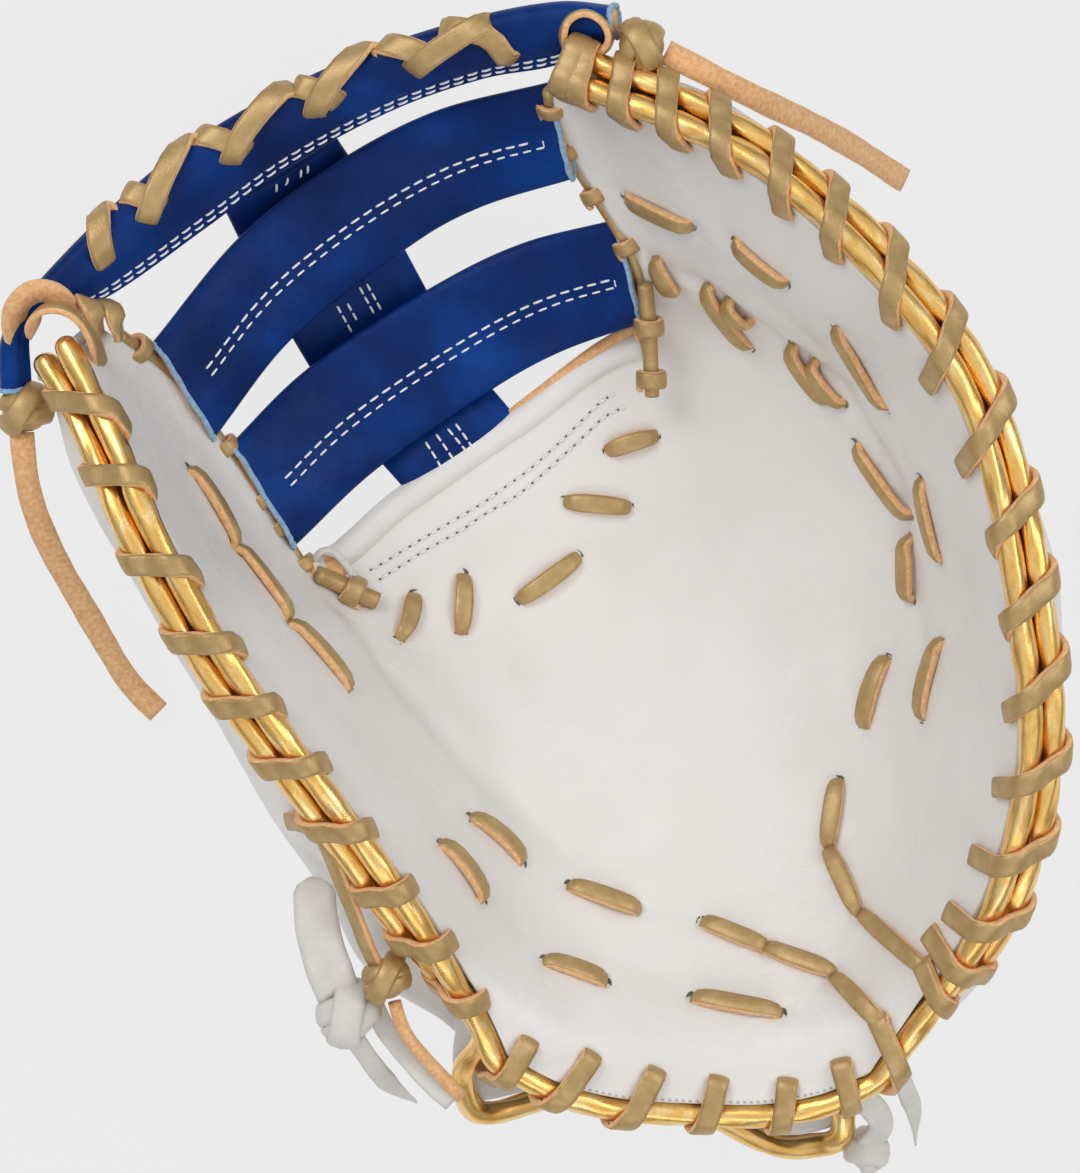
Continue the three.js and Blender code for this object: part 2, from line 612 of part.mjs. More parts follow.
// A padded band between an upper and a lower edge
function bandGeometry(sections, thickness) {
  const uppers = sections.map((section) => place(section.upper));
  const lowers = sections.map((section) => place(section.lower));
  const count = (sections.length - 1) * BAR_STEPS;
  const middles = [];
  const halves = [];
  for (let i = 0; i <= count; i += 1) {
    const upper = along(uppers, i / BAR_STEPS);
    const lower = along(lowers, i / BAR_STEPS);
    middles.push(upper.clone().add(lower).multiplyScalar(0.5));
    halves.push(upper.sub(lower).multiplyScalar(0.5));
  }
  const directions = tangents(middles);
  const rings = middles.map((middle, i) => {
    const out = new THREE.Vector3().crossVectors(directions[i], halves[i]).normalize();
    return Array.from({ length: BAR_SIDES }, (_, k) => {
      const angle = (2 * Math.PI * (k + 0.5)) / BAR_SIDES;
      const wide = Math.sign(Math.cos(angle)) * Math.abs(Math.cos(angle)) ** BAR_ROUNDNESS.wide;
      const high = Math.sign(Math.sin(angle)) * Math.abs(Math.sin(angle)) ** BAR_ROUNDNESS.high;
      return middle.clone().addScaledVector(halves[i], wide).addScaledVector(out, (high * thickness) / 2);
    });
  });
  return skinGeometry(rings);
}

// What is left of a solid once it keeps the gap to the neighbours that it would meet
function clearOf(solid, neighbours) {
  const shifts = [[GAP, 0, 0], [-GAP, 0, 0], [0, GAP, 0], [0, -GAP, 0], [0, 0, GAP], [0, 0, -GAP]];
  return neighbours.reduce((left, neighbour) => {
    if (left.intersect(neighbour).isEmpty()) return left;
    return shifts.reduce((rest, shift) => rest.subtract(neighbour.translate(shift)), left);
  }, solid);
}

function makeWeb() {
  const band = (sections, thickness) => solidOf(bandGeometry(sections, thickness));
  const shells = [solids.palm_shell, solids.back_shell];
  const topBar = clearOf(band(TOP_BAR, TOP_BAR_THICKNESS), shells);
  const upperBar = clearOf(band(UPPER_BAR, BAR_THICKNESS), [...shells, topBar]);
  const lowerBar = clearOf(band(LOWER_BAR, BAR_THICKNESS), [...shells, upperBar]);
  const post = clearOf(band(POST, POST_THICKNESS), [...shells, topBar, upperBar, lowerBar]);
  addPiece('web_top_bar', bodyOf(topBar), blueLeather);
  addPiece('web_upper_bar', bodyOf(upperBar), blueLeather);
  addPiece('web_lower_bar', bodyOf(lowerBar), blueLeather);
  addPiece('web_post', bodyOf(post), blueLeather);
}

// A free lace of flat section along its points
function freeLaceGeometry(points, width, thickness, turn) {
  const section = new THREE.Shape();
  const corners = Array.from({ length: CORD_SIDES }, (_, k) => {
    const angle = (2 * Math.PI * (k + 0.5)) / CORD_SIDES;
    const x = (width / 2) * Math.sign(Math.cos(angle)) * Math.abs(Math.cos(angle)) ** LACE_SQUARENESS;
    const y = (thickness / 2) * Math.sign(Math.sin(angle)) * Math.abs(Math.sin(angle)) ** LACE_SQUARENESS;
    return new THREE.Vector2(x, y).rotateAround(new THREE.Vector2(), turn);
  });
  section.setFromPoints(corners);
  const path = new THREE.CatmullRomCurve3(points.map((point) => new THREE.Vector3(...point)));
  const steps = Math.round(path.getLength() / (CORD_STEP * width));
  return new THREE.ExtrudeGeometry(section, { steps, extrudePath: path, bevelEnabled: false });
}

// A lace stitched through the palm: over it along each stitch, under it between them
function stitchRings(stitches, grow) {
  const over = LACE_THICKNESS / 2 + GAP;
  const under = -PALM_WALL - over;
  const points = [];
  const sides = [];
  stitches.forEach(({ from, to }) => {
    const start = palmSurface(...from);
    const run = palmSurface(...to).sub(start).normalize();
    const add = (share, height) => {
      const station = from[0] + (to[0] - from[0]) * share;
      const row = from[1] + (to[1] - from[1]) * share;
      points.push(palmLayer(station, row, height));
      sides.push(new THREE.Vector3().crossVectors(run, palmNormal(station, row)));
    };
    add(0, under);
    add(0.02, over + STITCH_RISE / 2);
    add(0.3, over + STITCH_RISE);
    add(0.7, over + STITCH_RISE);
    add(0.98, over + STITCH_RISE / 2);
    add(1, under);
  });
  return laceRings(points, sides, LACE_WIDTH + 2 * grow, LACE_THICKNESS + 2 * grow);
}

function makeStitches() {
  Object.entries(WEB_STITCHES).forEach(([name, stitches]) => {
    addPiece(name, skinGeometry(stitchRings(stitches, 0)), tanLace);
    solids.palm_shell = solids.palm_shell.subtract(passageOf(stitchRings(stitches, GAP)));
  });
}

// The lace that winds round the top bar
function makeTopLace() {
  const uppers = TOP_BAR.map((section) => place(section.upper));
  const lowers = TOP_BAR.map((section) => place(section.lower));
  const spots = Array.from({ length: TOP_LACE.wraps * LACE_STEPS + 1 }, (_, i) => {
    const phase = (i / LACE_STEPS) % 1;
    const wrap = Math.floor(i / LACE_STEPS) + wrapAdvance(phase);
    const t = TOP_LACE.from + ((TOP_LACE.to - TOP_LACE.from) * wrap) / TOP_LACE.wraps;
    const index = t * (TOP_BAR.length - 1);
    const upper = along(uppers, index);
    const lower = along(lowers, index);
    const half = upper.clone().sub(lower).multiplyScalar(0.5);
    const ahead = along(uppers, index + 0.1).sub(upper).normalize();
    const out = new THREE.Vector3().crossVectors(ahead, half).normalize();
    const angle = 2 * Math.PI * (phase - 0.25);
    const wide = half.length() + TOP_LACE.clearance + LACE_THICKNESS / 2;
    const high = TOP_BAR_THICKNESS / 2 + TOP_LACE.clearance + LACE_THICKNESS / 2;
    const across = half.clone().normalize().multiplyScalar(-wide * Math.cos(angle));
    const radial = across.clone().addScaledVector(out, high * Math.sin(angle));
    const point = upper.clone().add(lower).multiplyScalar(0.5).add(radial);
    return { point, radial: radial.normalize() };
  });
  const points = spots.map((spot) => spot.point);
  const directions = tangents(points);
  const sides = spots.map((spot, i) => new THREE.Vector3().crossVectors(directions[i], spot.radial));
  addPiece('web_top_lace', skinGeometry(laceRings(points, sides, LACE_WIDTH, LACE_THICKNESS)), tanLace);
}

function makeFreeLaces() {
  const lace = (name, points, width, turn, material) => {
    addPiece(name, freeLaceGeometry(points, width, LACE_THICKNESS, turn), material);
  };
  lace('top_tail', TOP_TAIL, LACE_WIDTH, 0, tanLace);
  lace('side_tail', SIDE_TAIL, LACE_WIDTH, 0, tanLace);
  lace('heel_tail', HEEL_TAIL, STRAP_WIDTH, 0, tanLace);
  lace('wrist_band', WRIST_BAND, WRIST_BAND_WIDTH, 0, whiteLace);
  lace('wrist_tail', WRIST_TAIL, WRIST_LACE_WIDTH, 0, whiteLace);
  lace('wrist_end', WRIST_END, WRIST_LACE_WIDTH, 0, whiteLace);
  lace('lip_strap', LIP_STRAP, STRAP_WIDTH, 0, tanLace);
}

function makeKnots() {
  Object.entries(KNOTS).forEach(([name, { at, half }]) => {
    const knot = new THREE.IcosahedronGeometry(1, 1);
    knot.scale(...half);
    knot.translate(...at);
    addPiece(name, knot, name.startsWith('wrist') ? whiteLace : tanLace);
  });
}

makeShells();
makeLining();
makeRimLaces();
makeBindings();
makeStitches();
makeWeb();
makeTopLace();
makeFreeLaces();
makeKnots();
addPiece('palm_shell', bodyOf(solids.palm_shell), whiteLeather);
addPiece('back_shell', bodyOf(solids.back_shell), whiteLeather);

export default group;
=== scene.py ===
"""A first base mitt lying open on its back with the pocket up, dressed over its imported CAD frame.

X runs from the thumb side to the finger side, Y from the heel to the finger tips and Z up.
Tables hold millimetres, shares of the mitt's size, or pixels of the 1080 x 1173 view from above.
"""

import math

import bmesh
import bpy
import numpy as np
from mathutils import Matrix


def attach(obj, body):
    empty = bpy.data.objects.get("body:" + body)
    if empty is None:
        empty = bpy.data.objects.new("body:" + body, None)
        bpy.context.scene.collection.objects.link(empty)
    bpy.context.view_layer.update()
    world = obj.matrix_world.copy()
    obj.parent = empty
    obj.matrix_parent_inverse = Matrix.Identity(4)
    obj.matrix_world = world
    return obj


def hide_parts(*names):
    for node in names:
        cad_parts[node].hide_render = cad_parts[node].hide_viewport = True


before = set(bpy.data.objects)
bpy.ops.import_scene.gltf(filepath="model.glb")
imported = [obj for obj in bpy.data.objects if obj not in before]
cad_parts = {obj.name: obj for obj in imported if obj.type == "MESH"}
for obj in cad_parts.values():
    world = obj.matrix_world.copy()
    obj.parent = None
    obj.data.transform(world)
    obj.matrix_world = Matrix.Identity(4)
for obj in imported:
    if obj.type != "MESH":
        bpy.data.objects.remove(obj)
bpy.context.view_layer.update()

MM = 0.001

# The camera looks straight down at the mitt
CAMERA_HEIGHT = 1600
VIEW_WIDTH = 1080
VIEW_HEIGHT = 1173
FOCAL_PIXELS = 5250
SENSOR = 36

# Sizes of the mitt and its parts in millimetres
SIZE = np.array([306, 334, 118])
PALM_WALL = 4
BACK_WALL = 3
HAND_ROOM = 20
EDGE_DEPTH = 7.6
RIM_DEPTH = 11
HEEL_TUCK = 15
ROLL_RADIUS = 3.6
ROLL_GAP = 0.3
LIP_RADIUS = 4.5
DIMPLE_DEPTH = 1.0
DIMPLE_RADIUS = 3.2
TOP_THICKNESS = 9
BAR_THICKNESS = 6
POST_THICKNESS = 4
PILE_HEIGHT = 3.6

# Laces, straps and sewing in millimetres
LACE_WIDTH = 6.4
LACE_THICKNESS = 2.2
STITCH_LACE_WIDTH = 5.6
STITCH_LACE_THICKNESS = 2.6
TOP_LACE_WIDTH = 7
TAIL_WIDTH = 7.2
HEEL_TAIL_WIDTH = 4
STRAP_WIDTH = 3.4
WRIST_BAND_WIDTH = 13
WRIST_LACE_WIDTH = 6
SIDE_LACE_WIDTH = 5.4
INSIDE_LACE_WIDTH = 5
WRIST_LOOP_WIDTH = 8
LACE_LIFT = ROLL_RADIUS + LACE_THICKNESS / 2 + 0.25
WRAP_LEG = 7
SEWING_PITCH = 4.4
SEWING_LENGTH = 3.2
THREAD_RADIUS = 0.37
POST_PITCH = 3.4
POST_STITCH = 2.6
LIP_PITCH = 3.4
LIP_STITCH = 1.9
LIP_THREAD_RADIUS = 0.4
LIP_DOT = 0.8
FINE_THREAD_RADIUS = 0.3
HEEL_PITCH = 2.0
HEEL_STITCH = 0.9
HOLE_LONG = 1.5
HOLE_WIDE = 2.3
HOLE_DEPTH = 0.5
HOLE_LIFT = 0.35

# Pixels by which a hole's oval of painted shade shows past the end of its stitch
HOLE_SHIFT = 1.2

# Stations and rows of the palm's net: its ends, and where the web's opening is
LAST_STATION = 6
LAST_ROW = 9
WEB_FROM = 1
WEB_TO = 4
LIP_ROW = 6
TIP_TRIM = 0.12
TIP_REACH = 0.45
SLOPE_STEP = 0.08
ROOM_STEP = 0.1

# How the back leans at the heel, flares at the thumb's corner and is tucked in at the wrist
HEEL_LEAN = 0.33
LEAN_ROWS = 2
THUMB_FLARE = 0.85
FLARE_ROWS = 1.6
FLARE_STATION = 0.6
TUCK_FROM = 0.7
TUCK_TO = 4.4
TUCK_EASE = 1.8

# How finely the pieces are drawn
PALM_COLUMNS = 180
PALM_LINES = 240
BACK_COLUMNS = 120
BACK_LINES = 160
ROLL_SIDES = 26
ROLL_STEP = 0.9
BAND_SIDES = 32
BAND_STEPS = 14
BAND_END = 0.02
BAND_WIDE_POWER = 0.6
BAND_HIGH_POWER = 0.8
BAND_RIM_POINTS = 49
BAND_RIM_SIDES = 8
LIP_SIDES = 24
TAIL_STEP = 2.5
TAIL_EASE = 12
TUFTS = 900

# The palm's face: a row from the heel edge to the tips, seven stations from thumb to finger rim
PALM_NET = np.array([
    [[-0.030, -0.410, 0.59], [0.020, -0.435, 0.55], [0.080, -0.450, 0.51], [0.155, -0.455, 0.49],
     [0.215, -0.455, 0.50], [0.270, -0.445, 0.53], [0.315, -0.425, 0.56]],
    [[-0.055, -0.360, 0.65], [0.010, -0.385, 0.59], [0.075, -0.400, 0.53], [0.155, -0.405, 0.51],
     [0.225, -0.400, 0.52], [0.290, -0.385, 0.56], [0.360, -0.360, 0.64]],
    [[-0.095, -0.295, 0.73], [-0.005, -0.320, 0.51], [0.070, -0.330, 0.42], [0.145, -0.335, 0.40],
     [0.225, -0.330, 0.41], [0.315, -0.310, 0.47], [0.405, -0.290, 0.73]],
    [[-0.150, -0.220, 0.81], [-0.025, -0.230, 0.39], [0.050, -0.235, 0.31], [0.135, -0.235, 0.28],
     [0.225, -0.230, 0.29], [0.335, -0.220, 0.39], [0.430, -0.225, 0.80]],
    [[-0.210, -0.145, 0.88], [-0.080, -0.135, 0.36], [0.005, -0.125, 0.25], [0.110, -0.120, 0.20],
     [0.205, -0.115, 0.21], [0.340, -0.100, 0.34], [0.445, -0.135, 0.86]],
    [[-0.285, -0.050, 0.93], [-0.150, -0.050, 0.32], [-0.060, -0.030, 0.19], [0.040, -0.010, 0.15],
     [0.165, 0.025, 0.15], [0.345, 0.025, 0.32], [0.435, -0.030, 0.92]],
    [[-0.345, 0.045, 0.93], [-0.225, 0.015, 0.29], [-0.135, 0.075, 0.20], [-0.025, 0.145, 0.19],
     [0.100, 0.215, 0.23], [0.260, 0.185, 0.36], [0.400, 0.120, 0.97]],
    [[-0.370, 0.095, 0.91], [-0.275, 0.085, 0.37], [-0.150, 0.150, 0.25], [-0.025, 0.220, 0.25],
     [0.100, 0.275, 0.39], [0.215, 0.250, 0.63], [0.335, 0.225, 0.99]],
    [[-0.395, 0.145, 0.86], [-0.345, 0.175, 0.51], [-0.240, 0.255, 0.38], [-0.105, 0.345, 0.38],
     [0.025, 0.385, 0.56], [0.110, 0.370, 0.75], [0.195, 0.350, 0.93]],
    [[-0.435, 0.215, 0.80], [-0.415, 0.225, 0.75], [-0.275, 0.360, 0.64], [-0.135, 0.420, 0.66],
     [0.010, 0.435, 0.75], [0.020, 0.430, 0.78], [0.030, 0.425, 0.81]],
]) * SIZE

# Room for the hand between palm and back, in shares of HAND_ROOM at these stations
ROOM_STATIONS = [0.5, 1, 2.5, 4, 5, 5.5]
ROOM_ROWS = [
    [1.30, 1.70, 1.80, 1.80, 1.60, 1.20],
    [1.70, 1.75, 1.70, 1.70, 1.50, 1.30],
    [2.42, 1.75, 1.60, 1.60, 1.45, 1.35],
    [2.42, 1.60, 1.40, 1.40, 1.25, 1.35],
    [2.33, 1.35, 1.20, 1.20, 1.10, 1.35],
    [1.84, 1.20, 1.00, 0.95, 1.00, 1.35],
    [1.45, 0.75, 0.60, 0.50, 0.80, 1.25],
    [1.50, 0.00, 0.00, 0.00, 0.65, 1.05],
    [1.30, 0.00, 0.00, 0.00, 0.45, 0.90],
    [0.30, 0.00, 0.00, 0.00, 0.05, 0.05],
]

# Web pieces: upper and lower edge at each section, in shares of SIZE
TOP_BAR = [
    [[-0.510, 0.170, 0.71], [-0.480, 0.172, 0.71]], [[-0.505, 0.220, 0.74], [-0.475, 0.230, 0.73]],
    [[-0.455, 0.280, 0.74], [-0.410, 0.250, 0.69]], [[-0.365, 0.360, 0.69], [-0.315, 0.315, 0.59]],
    [[-0.275, 0.415, 0.67], [-0.235, 0.370, 0.57]], [[-0.170, 0.460, 0.69], [-0.140, 0.415, 0.61]],
    [[-0.065, 0.490, 0.74], [-0.055, 0.440, 0.67]], [[0.015, 0.502, 0.80], [0.014, 0.449, 0.75]],
    [[0.068, 0.497, 0.84], [0.072, 0.470, 0.82]],
]
UPPER_BAR = [
    [[-0.370, 0.212, 0.58], [-0.315, 0.130, 0.45]], [[-0.290, 0.305, 0.51], [-0.240, 0.220, 0.39]],
    [[-0.210, 0.365, 0.48], [-0.130, 0.300, 0.36]], [[-0.105, 0.415, 0.53], [-0.060, 0.335, 0.41]],
    [[0.010, 0.438, 0.66], [0.032, 0.358, 0.53]],
]
LOWER_BAR = [
    [[-0.300, 0.125, 0.41], [-0.240, 0.035, 0.31]], [[-0.225, 0.195, 0.32], [-0.160, 0.105, 0.24]],
    [[-0.110, 0.265, 0.29], [-0.050, 0.175, 0.22]], [[-0.020, 0.305, 0.32], [0.020, 0.210, 0.25]],
    [[0.075, 0.325, 0.42], [0.100, 0.235, 0.32]],
]
POST = [
    [[-0.195, 0.395, 0.46], [-0.305, 0.335, 0.46]], [[-0.155, 0.340, 0.31], [-0.265, 0.260, 0.31]],
    [[-0.085, 0.225, 0.17], [-0.200, 0.160, 0.18]], [[-0.030, 0.160, 0.19], [-0.140, 0.095, 0.19]],
    [[-0.012, 0.142, 0.16], [-0.122, 0.077, 0.16]],
]

# Free laces and straps: the route's points in millimetres, as in the CAD
TOP_TAIL = [
    [35.9, 152.6, 101], [46, 147.4, 101], [57, 142.3, 96], [68, 138.2, 85],
    [80, 134.6, 67], [92, 130.6, 44], [102, 126.8, 23], [110, 123.2, 9],
]
SIDE_TAIL = [
    [-149.6, 44.3, 84], [-149, 34, 82], [-147, 22, 74], [-142, 8, 60],
    [-136, -5, 42], [-130, -18, 24], [-124, -30, 9], [-116, -38, 5],
]
HEEL_TAIL = [
    [-42.2, -120.8, 74.6], [-41, -128, 71], [-37, -134, 67], [-31, -141, 62], [-23, -150, 57],
]
WRIST_BAND = [
    [-65.5, -84.5, 73], [-65.8, -92, 75], [-64.6, -101, 75], [-62, -110, 74], [-58.6, -119, 70.4],
]
WRIST_TAIL = [
    [-53.8, -132.6, 66.2], [-50, -139, 60], [-46, -146, 46], [-41, -152, 26], [-38, -156, 6],
]
WRIST_END = [
    [105.1, -142, 52], [109, -150, 41], [112, -157, 28], [113, -163, 16], [114, -169, 5],
]
LIP_STRAP = [[-9.5, 51, 22], [4, 61.5, 24], [16.5, 71, 26], [29.5, 78.5, 29]]

# Knots: centre and half sizes in millimetres, the way that the lace runs on, and its width
TAN_KNOTS = {
    "top_knot": ([29, 154.6, 101], [7.6, 7, 6], (0.9, -0.4, 0), 6.4),
    "side_knot": ([-148.5, 51, 84], [8, 7.4, 6.4], (0.1, -1, 0), 6.4),
    "heel_knot": ([-44.6, -113.8, 75.6], [7, 7, 6], (0.2, -1, 0), 5.6),
}
WHITE_KNOTS = {
    "wrist_knot": ([-56, -124.5, 67], [9.6, 9.4, 8], (0.5, -0.9, 0), 9.5),
    "wrist_end_knot": ([98, -169.2, 24], [6, 7, 6], (0.8, 0.5, 0), 7),
}
# The ball inside a knot, as a share of its half sizes
KNOT_CORE = 0.86

# Lace outside the thumb's rolls, the second wrist strap and the loop at the right wrist knot, as
# pixels with heights
THUMB_SIDE_LACE = [
    (288, 821, 80), (301, 823, 89), (319, 833, 92), (333, 862, 90), (345, 892, 87), (358, 924, 83),
    (369, 952, 79), (380, 972, 76),
]
SECOND_STRAP = [
    (372, 1002, 66), (386, 1030, 63), (406, 1056, 60), (430, 1082, 58), (452, 1102, 56),
]
WRIST_END_LOOP = [(850, 1096, 46), (871, 1106, 42), (881, 1125, 35), (868, 1146, 28)]

# Wraps of the rim laces in pixels: where each leaves the back, and where it enters the palm
THUMB_WRAPS = [
    [(42, 395), (125, 430)], [(65, 475), (150, 495)], [(105, 560), (195, 580)],
    [(150, 633), (238, 650)], [(198, 695), (280, 710)], [(242, 758), (323, 765)],
    [(288, 820), (370, 830)], [(345, 890), (410, 885)], [(370, 945), (450, 940)],
    [(400, 1005), (483, 1000)], [(440, 1050), (527, 1045)],
]
HEEL_WRAPS = [
    [(520, 1100), (590, 1058)], [(598, 1115), (655, 1075)], [(680, 1130), (718, 1083)],
    [(755, 1130), (787, 1085)], [(855, 1120), (842, 1065)],
]
FINGER_WRAPS = [
    [(905, 1090), (880, 1022)], [(950, 1030), (925, 965)], [(985, 965), (932, 935)],
    [(1030, 890), (950, 912)], [(1050, 810), (975, 855)], [(1068, 730), (1000, 788)],
    [(1063, 635), (1010, 712)], [(1050, 555), (1012, 630)], [(1028, 468), (998, 550)],
    [(985, 378), (965, 465)], [(940, 290), (930, 385)], [(880, 218), (893, 322)],
    [(828, 165), (837, 255)], [(768, 130), (785, 212)], [(708, 95), (733, 172)],
    [(662, 72), (683, 145)], [(622, 58), (632, 122)], [(585, 50), (588, 103)],
    [(550, 66), (568, 96)],
]

# Lace stitches on the palm, in pixels from hole to hole
THUMB_STITCHES = [
    [(190, 467), (238, 545)], [(238, 545), (292, 617)], [(292, 620), (352, 690)],
]
FINGER_STITCHES = [
    [(625, 197), (690, 228)], [(735, 242), (785, 285)], [(835, 328), (885, 410)],
]
PALM_STITCHES = [
    [(655, 262), (672, 293)], [(705, 290), (748, 350)], [(725, 305), (748, 325)],
    [(790, 350), (828, 405)], [(810, 365), (840, 405)], [(854, 444), (906, 518)],
    [(918, 480), (938, 560)], [(940, 638), (920, 718)], [(905, 540), (905, 600)],
    [(885, 658), (862, 728)], [(838, 780), (828, 845)], [(828, 848), (858, 912)],
    [(860, 912), (925, 970)], [(703, 922), (765, 945)], [(765, 945), (832, 972)],
    [(832, 975), (882, 1022)], [(608, 452), (655, 438)], [(565, 503), (628, 507)],
    [(520, 600), (578, 555)], [(462, 575), (461, 633)], [(415, 595), (400, 637)],
    [(693, 997), (780, 1012)], [(546, 960), (606, 982)], [(570, 885), (640, 910)],
    [(472, 817), (523, 862)], [(442, 843), (485, 900)],
]

# Strands of the lace round the top bar, in pixels
TOP_STRANDS = [
    [(98, 200), (110, 268)], [(125, 195), (163, 210)], [(147, 226), (200, 135)],
    [(195, 138), (250, 155)], [(230, 166), (295, 85)], [(295, 87), (340, 105)],
    [(315, 120), (380, 45)], [(378, 47), (435, 62)], [(410, 75), (490, 22)],
    [(440, 30), (515, 60)],
]

# Sewn rows of the web pieces: height across the piece, from 1 at its upper edge to -1 at its lower
# one, and the sections where they start and end
TOP_ROWS = [(-0.68, 1.35, 7.2), (-0.84, 1.3, 7.25)]
BAR_ROWS = [(-0.02, 0.18, 3.82), (-0.17, 0.18, 3.86)]
POST_SEWING = [
    [(268, 168), (278, 197)], [(278, 162), (286, 193)], [(290, 148), (300, 182)],
    [(298, 146), (306, 175)], [(335, 300), (354, 332)], [(345, 298), (362, 328)],
    [(357, 283), (376, 318)], [(364, 278), (382, 315)], [(422, 438), (446, 478)],
    [(432, 430), (458, 470)], [(443, 425), (470, 460)], [(452, 420), (478, 455)],
]
# The palm's sewn rows at the lip, in pixels
LIP_ROWS = [
    [(368, 572), (450, 523), (520, 478), (560, 442), (600, 402), (618, 392)],
    [(378, 580), (454, 534), (526, 489), (568, 452), (606, 414), (628, 405)],
]

# Turns round the laces along the web's opening, in pixels
THUMB_EDGE_WRAPS = [(135, 351), (188, 410), (220, 452), (257, 503), (279, 528), (303, 566)]
FINGER_EDGE_WRAPS = [(546, 108), (557, 156), (588, 197), (632, 243)]
EDGE_LACE_ROWS = (8.75, 6.05)

# Strands of lace at the tips, as pixels with heights: the width, the way that the grain faces, and
# the middle that it faces away from
TIP_STRANDS = [
    ([(33, 330, 92), (34, 318, 99), (44, 309, 103), (60, 308, 104), (76, 316, 103),
      (89, 332, 100), (97, 350, 95), (100, 366, 89)], 6.4, (0, 0, 0.35), (62, 350, 90)),
    ([(15, 338, 88), (13, 322, 93), (18, 304, 97), (32, 292, 99), (48, 291, 99), (62, 298, 97),
      (72, 307, 88)], 7.5, (0, 0, -1.2), (40, 330, 90)),
    ([(84, 300, 92), (90, 303, 97), (96, 318, 98), (98, 336, 91)], 6.4, (0.5, 0.3, 0.8), None),
    ([(104, 302, 90), (112, 308, 94), (117, 322, 94), (119, 334, 88)], 6, (0.5, 0.3, 0.8), None),
]
FINGER_TIP_STRANDS = [
    ([(566, 50, 92), (563, 36, 98), (569, 20, 101), (585, 13, 103), (602, 21, 103),
      (610, 36, 101), (604, 50, 98), (590, 54, 96), (580, 62, 95)],
     6.4, (0, 0, 0.15), (587, 35, 100)),
]

# Laces and raw rim at the two ends of the lip: pixels, or pixels with heights
LIP_LEFT_LACE = [(312, 579), (330, 587), (350, 596), (374, 607)]
LIP_LEFT_WRAP = (352, 598)
LIP_LEFT_RIM = [
    (315, 568, 31), (316, 558, 34), (323, 551, 36), (334, 552, 36), (346, 565, 35), (356, 580, 33),
]
LIP_LEFT_INSIDE = [(322, 562, 30), (332, 566, 32), (344, 577, 32)]
LIP_RIGHT_LACE = [(645, 284, 50), (648, 315, 45), (650, 350, 41), (652, 396, 37)]
LIP_RIGHT_WRAPS = [(649, 328), (652, 380)]

# A stitch of lace from hole to hole: share of its way, height over the palm and share of its width
STITCH_SHARE = np.array([0.01, 0.02, 0.05, 0.13, 0.28, 0.5, 0.72, 0.87, 0.95, 0.98, 0.99])
STITCH_HEIGHT = np.array([-4, -1.6, 0.3, 1.3, 1.7, 1.9, 1.7, 1.3, 0.3, -1.6, -4])
STITCH_TAPER = np.array([0.5, 0.62, 0.76, 0.9, 1, 1.02, 1, 0.9, 0.76, 0.62, 0.5])

# A strand of the top bar's lace: share of its way, share of its height over the leather, and that
# height in millimetres for the upper and the lower strands
STRAND_SHARE = np.array([0, 0.04, 0.12, 0.25, 0.4, 0.6, 0.75, 0.88, 0.96, 1])
STRAND_LIFT = np.array([-2.5, 0, 0.8, 1, 1, 1, 1, 0.8, 0, -2.5])
STRAND_LEVELS = (2.6, 1.3)

# Soft folds of the palm leather: depth and half width in millimetres, then pixels
FOLDS = [
    (1.6, 6, [(350, 610), (400, 680), (450, 740), (500, 790), (560, 840), (620, 900)]),
    (1.8, 5, [(674, 276), (704, 288), (748, 320), (788, 348), (840, 384), (900, 490), (905, 560),
              (920, 660)]),
    (1.2, 5, [(625, 250), (660, 268), (680, 290), (690, 330)]),
    (0.9, 6, [(760, 300), (800, 330), (850, 400), (880, 470)]),
    (0.8, 8, [(250, 640), (300, 720), (350, 780), (400, 850)]),
    (0.7, 7, [(480, 880), (560, 940), (640, 965), (720, 985), (800, 1010)]),
    (0.6, 6, [(880, 760), (900, 840), (900, 900)]),
]


def unit(vectors):
    """The vectors at length 1."""
    return vectors / np.maximum(np.linalg.norm(vectors, axis=-1, keepdims=True), 1e-9)


def eased(share):
    """A share from 0 to 1 that starts and ends softly."""
    f = np.clip(share, 0, 1)
    return f * f * (3 - 2 * f)


def spline_weights(f):
    """How much each of four points in a row counts, a share f past the second."""
    return [
        (-f + 2 * f**2 - f**3) / 2,
        (2 - 5 * f**2 + 3 * f**3) / 2,
        (f + 4 * f**2 - 3 * f**3) / 2,
        (-f**2 + f**3) / 2,
    ]


def extended(points):
    """The points with one more at each end, straight on."""
    return np.concatenate([[2 * points[0] - points[1]], points, [2 * points[-1] - points[-2]]])


def along(points, t):
    """Points of a smooth curve through the given points, where t counts them."""
    points = np.asarray(points, float)
    t = np.asarray(t, float)
    i = np.clip(np.floor(t).astype(int), 0, len(points) - 2)
    net = extended(points)
    shares = spline_weights(t - i)
    return sum(shares[k][(...,) + (None,) * (points.ndim - 1)] * net[i + k] for k in range(4))


FULL_NET = extended(np.swapaxes(extended(np.swapaxes(PALM_NET, 0, 1)), 0, 1))


def palm_face(station, row):
    """Points of the palm's face, which is towards the pocket."""
    station, row = np.broadcast_arrays(np.asarray(station, float), np.asarray(row, float))
    i = np.clip(np.floor(row).astype(int), 0, LAST_ROW - 1)
    j = np.clip(np.floor(station).astype(int), 0, LAST_STATION - 1)
    up, across = spline_weights(row - i), spline_weights(station - j)
    return sum(
        (up[a] * across[b])[..., None] * FULL_NET[i + a, j + b] for a in range(4) for b in range(4)
    )


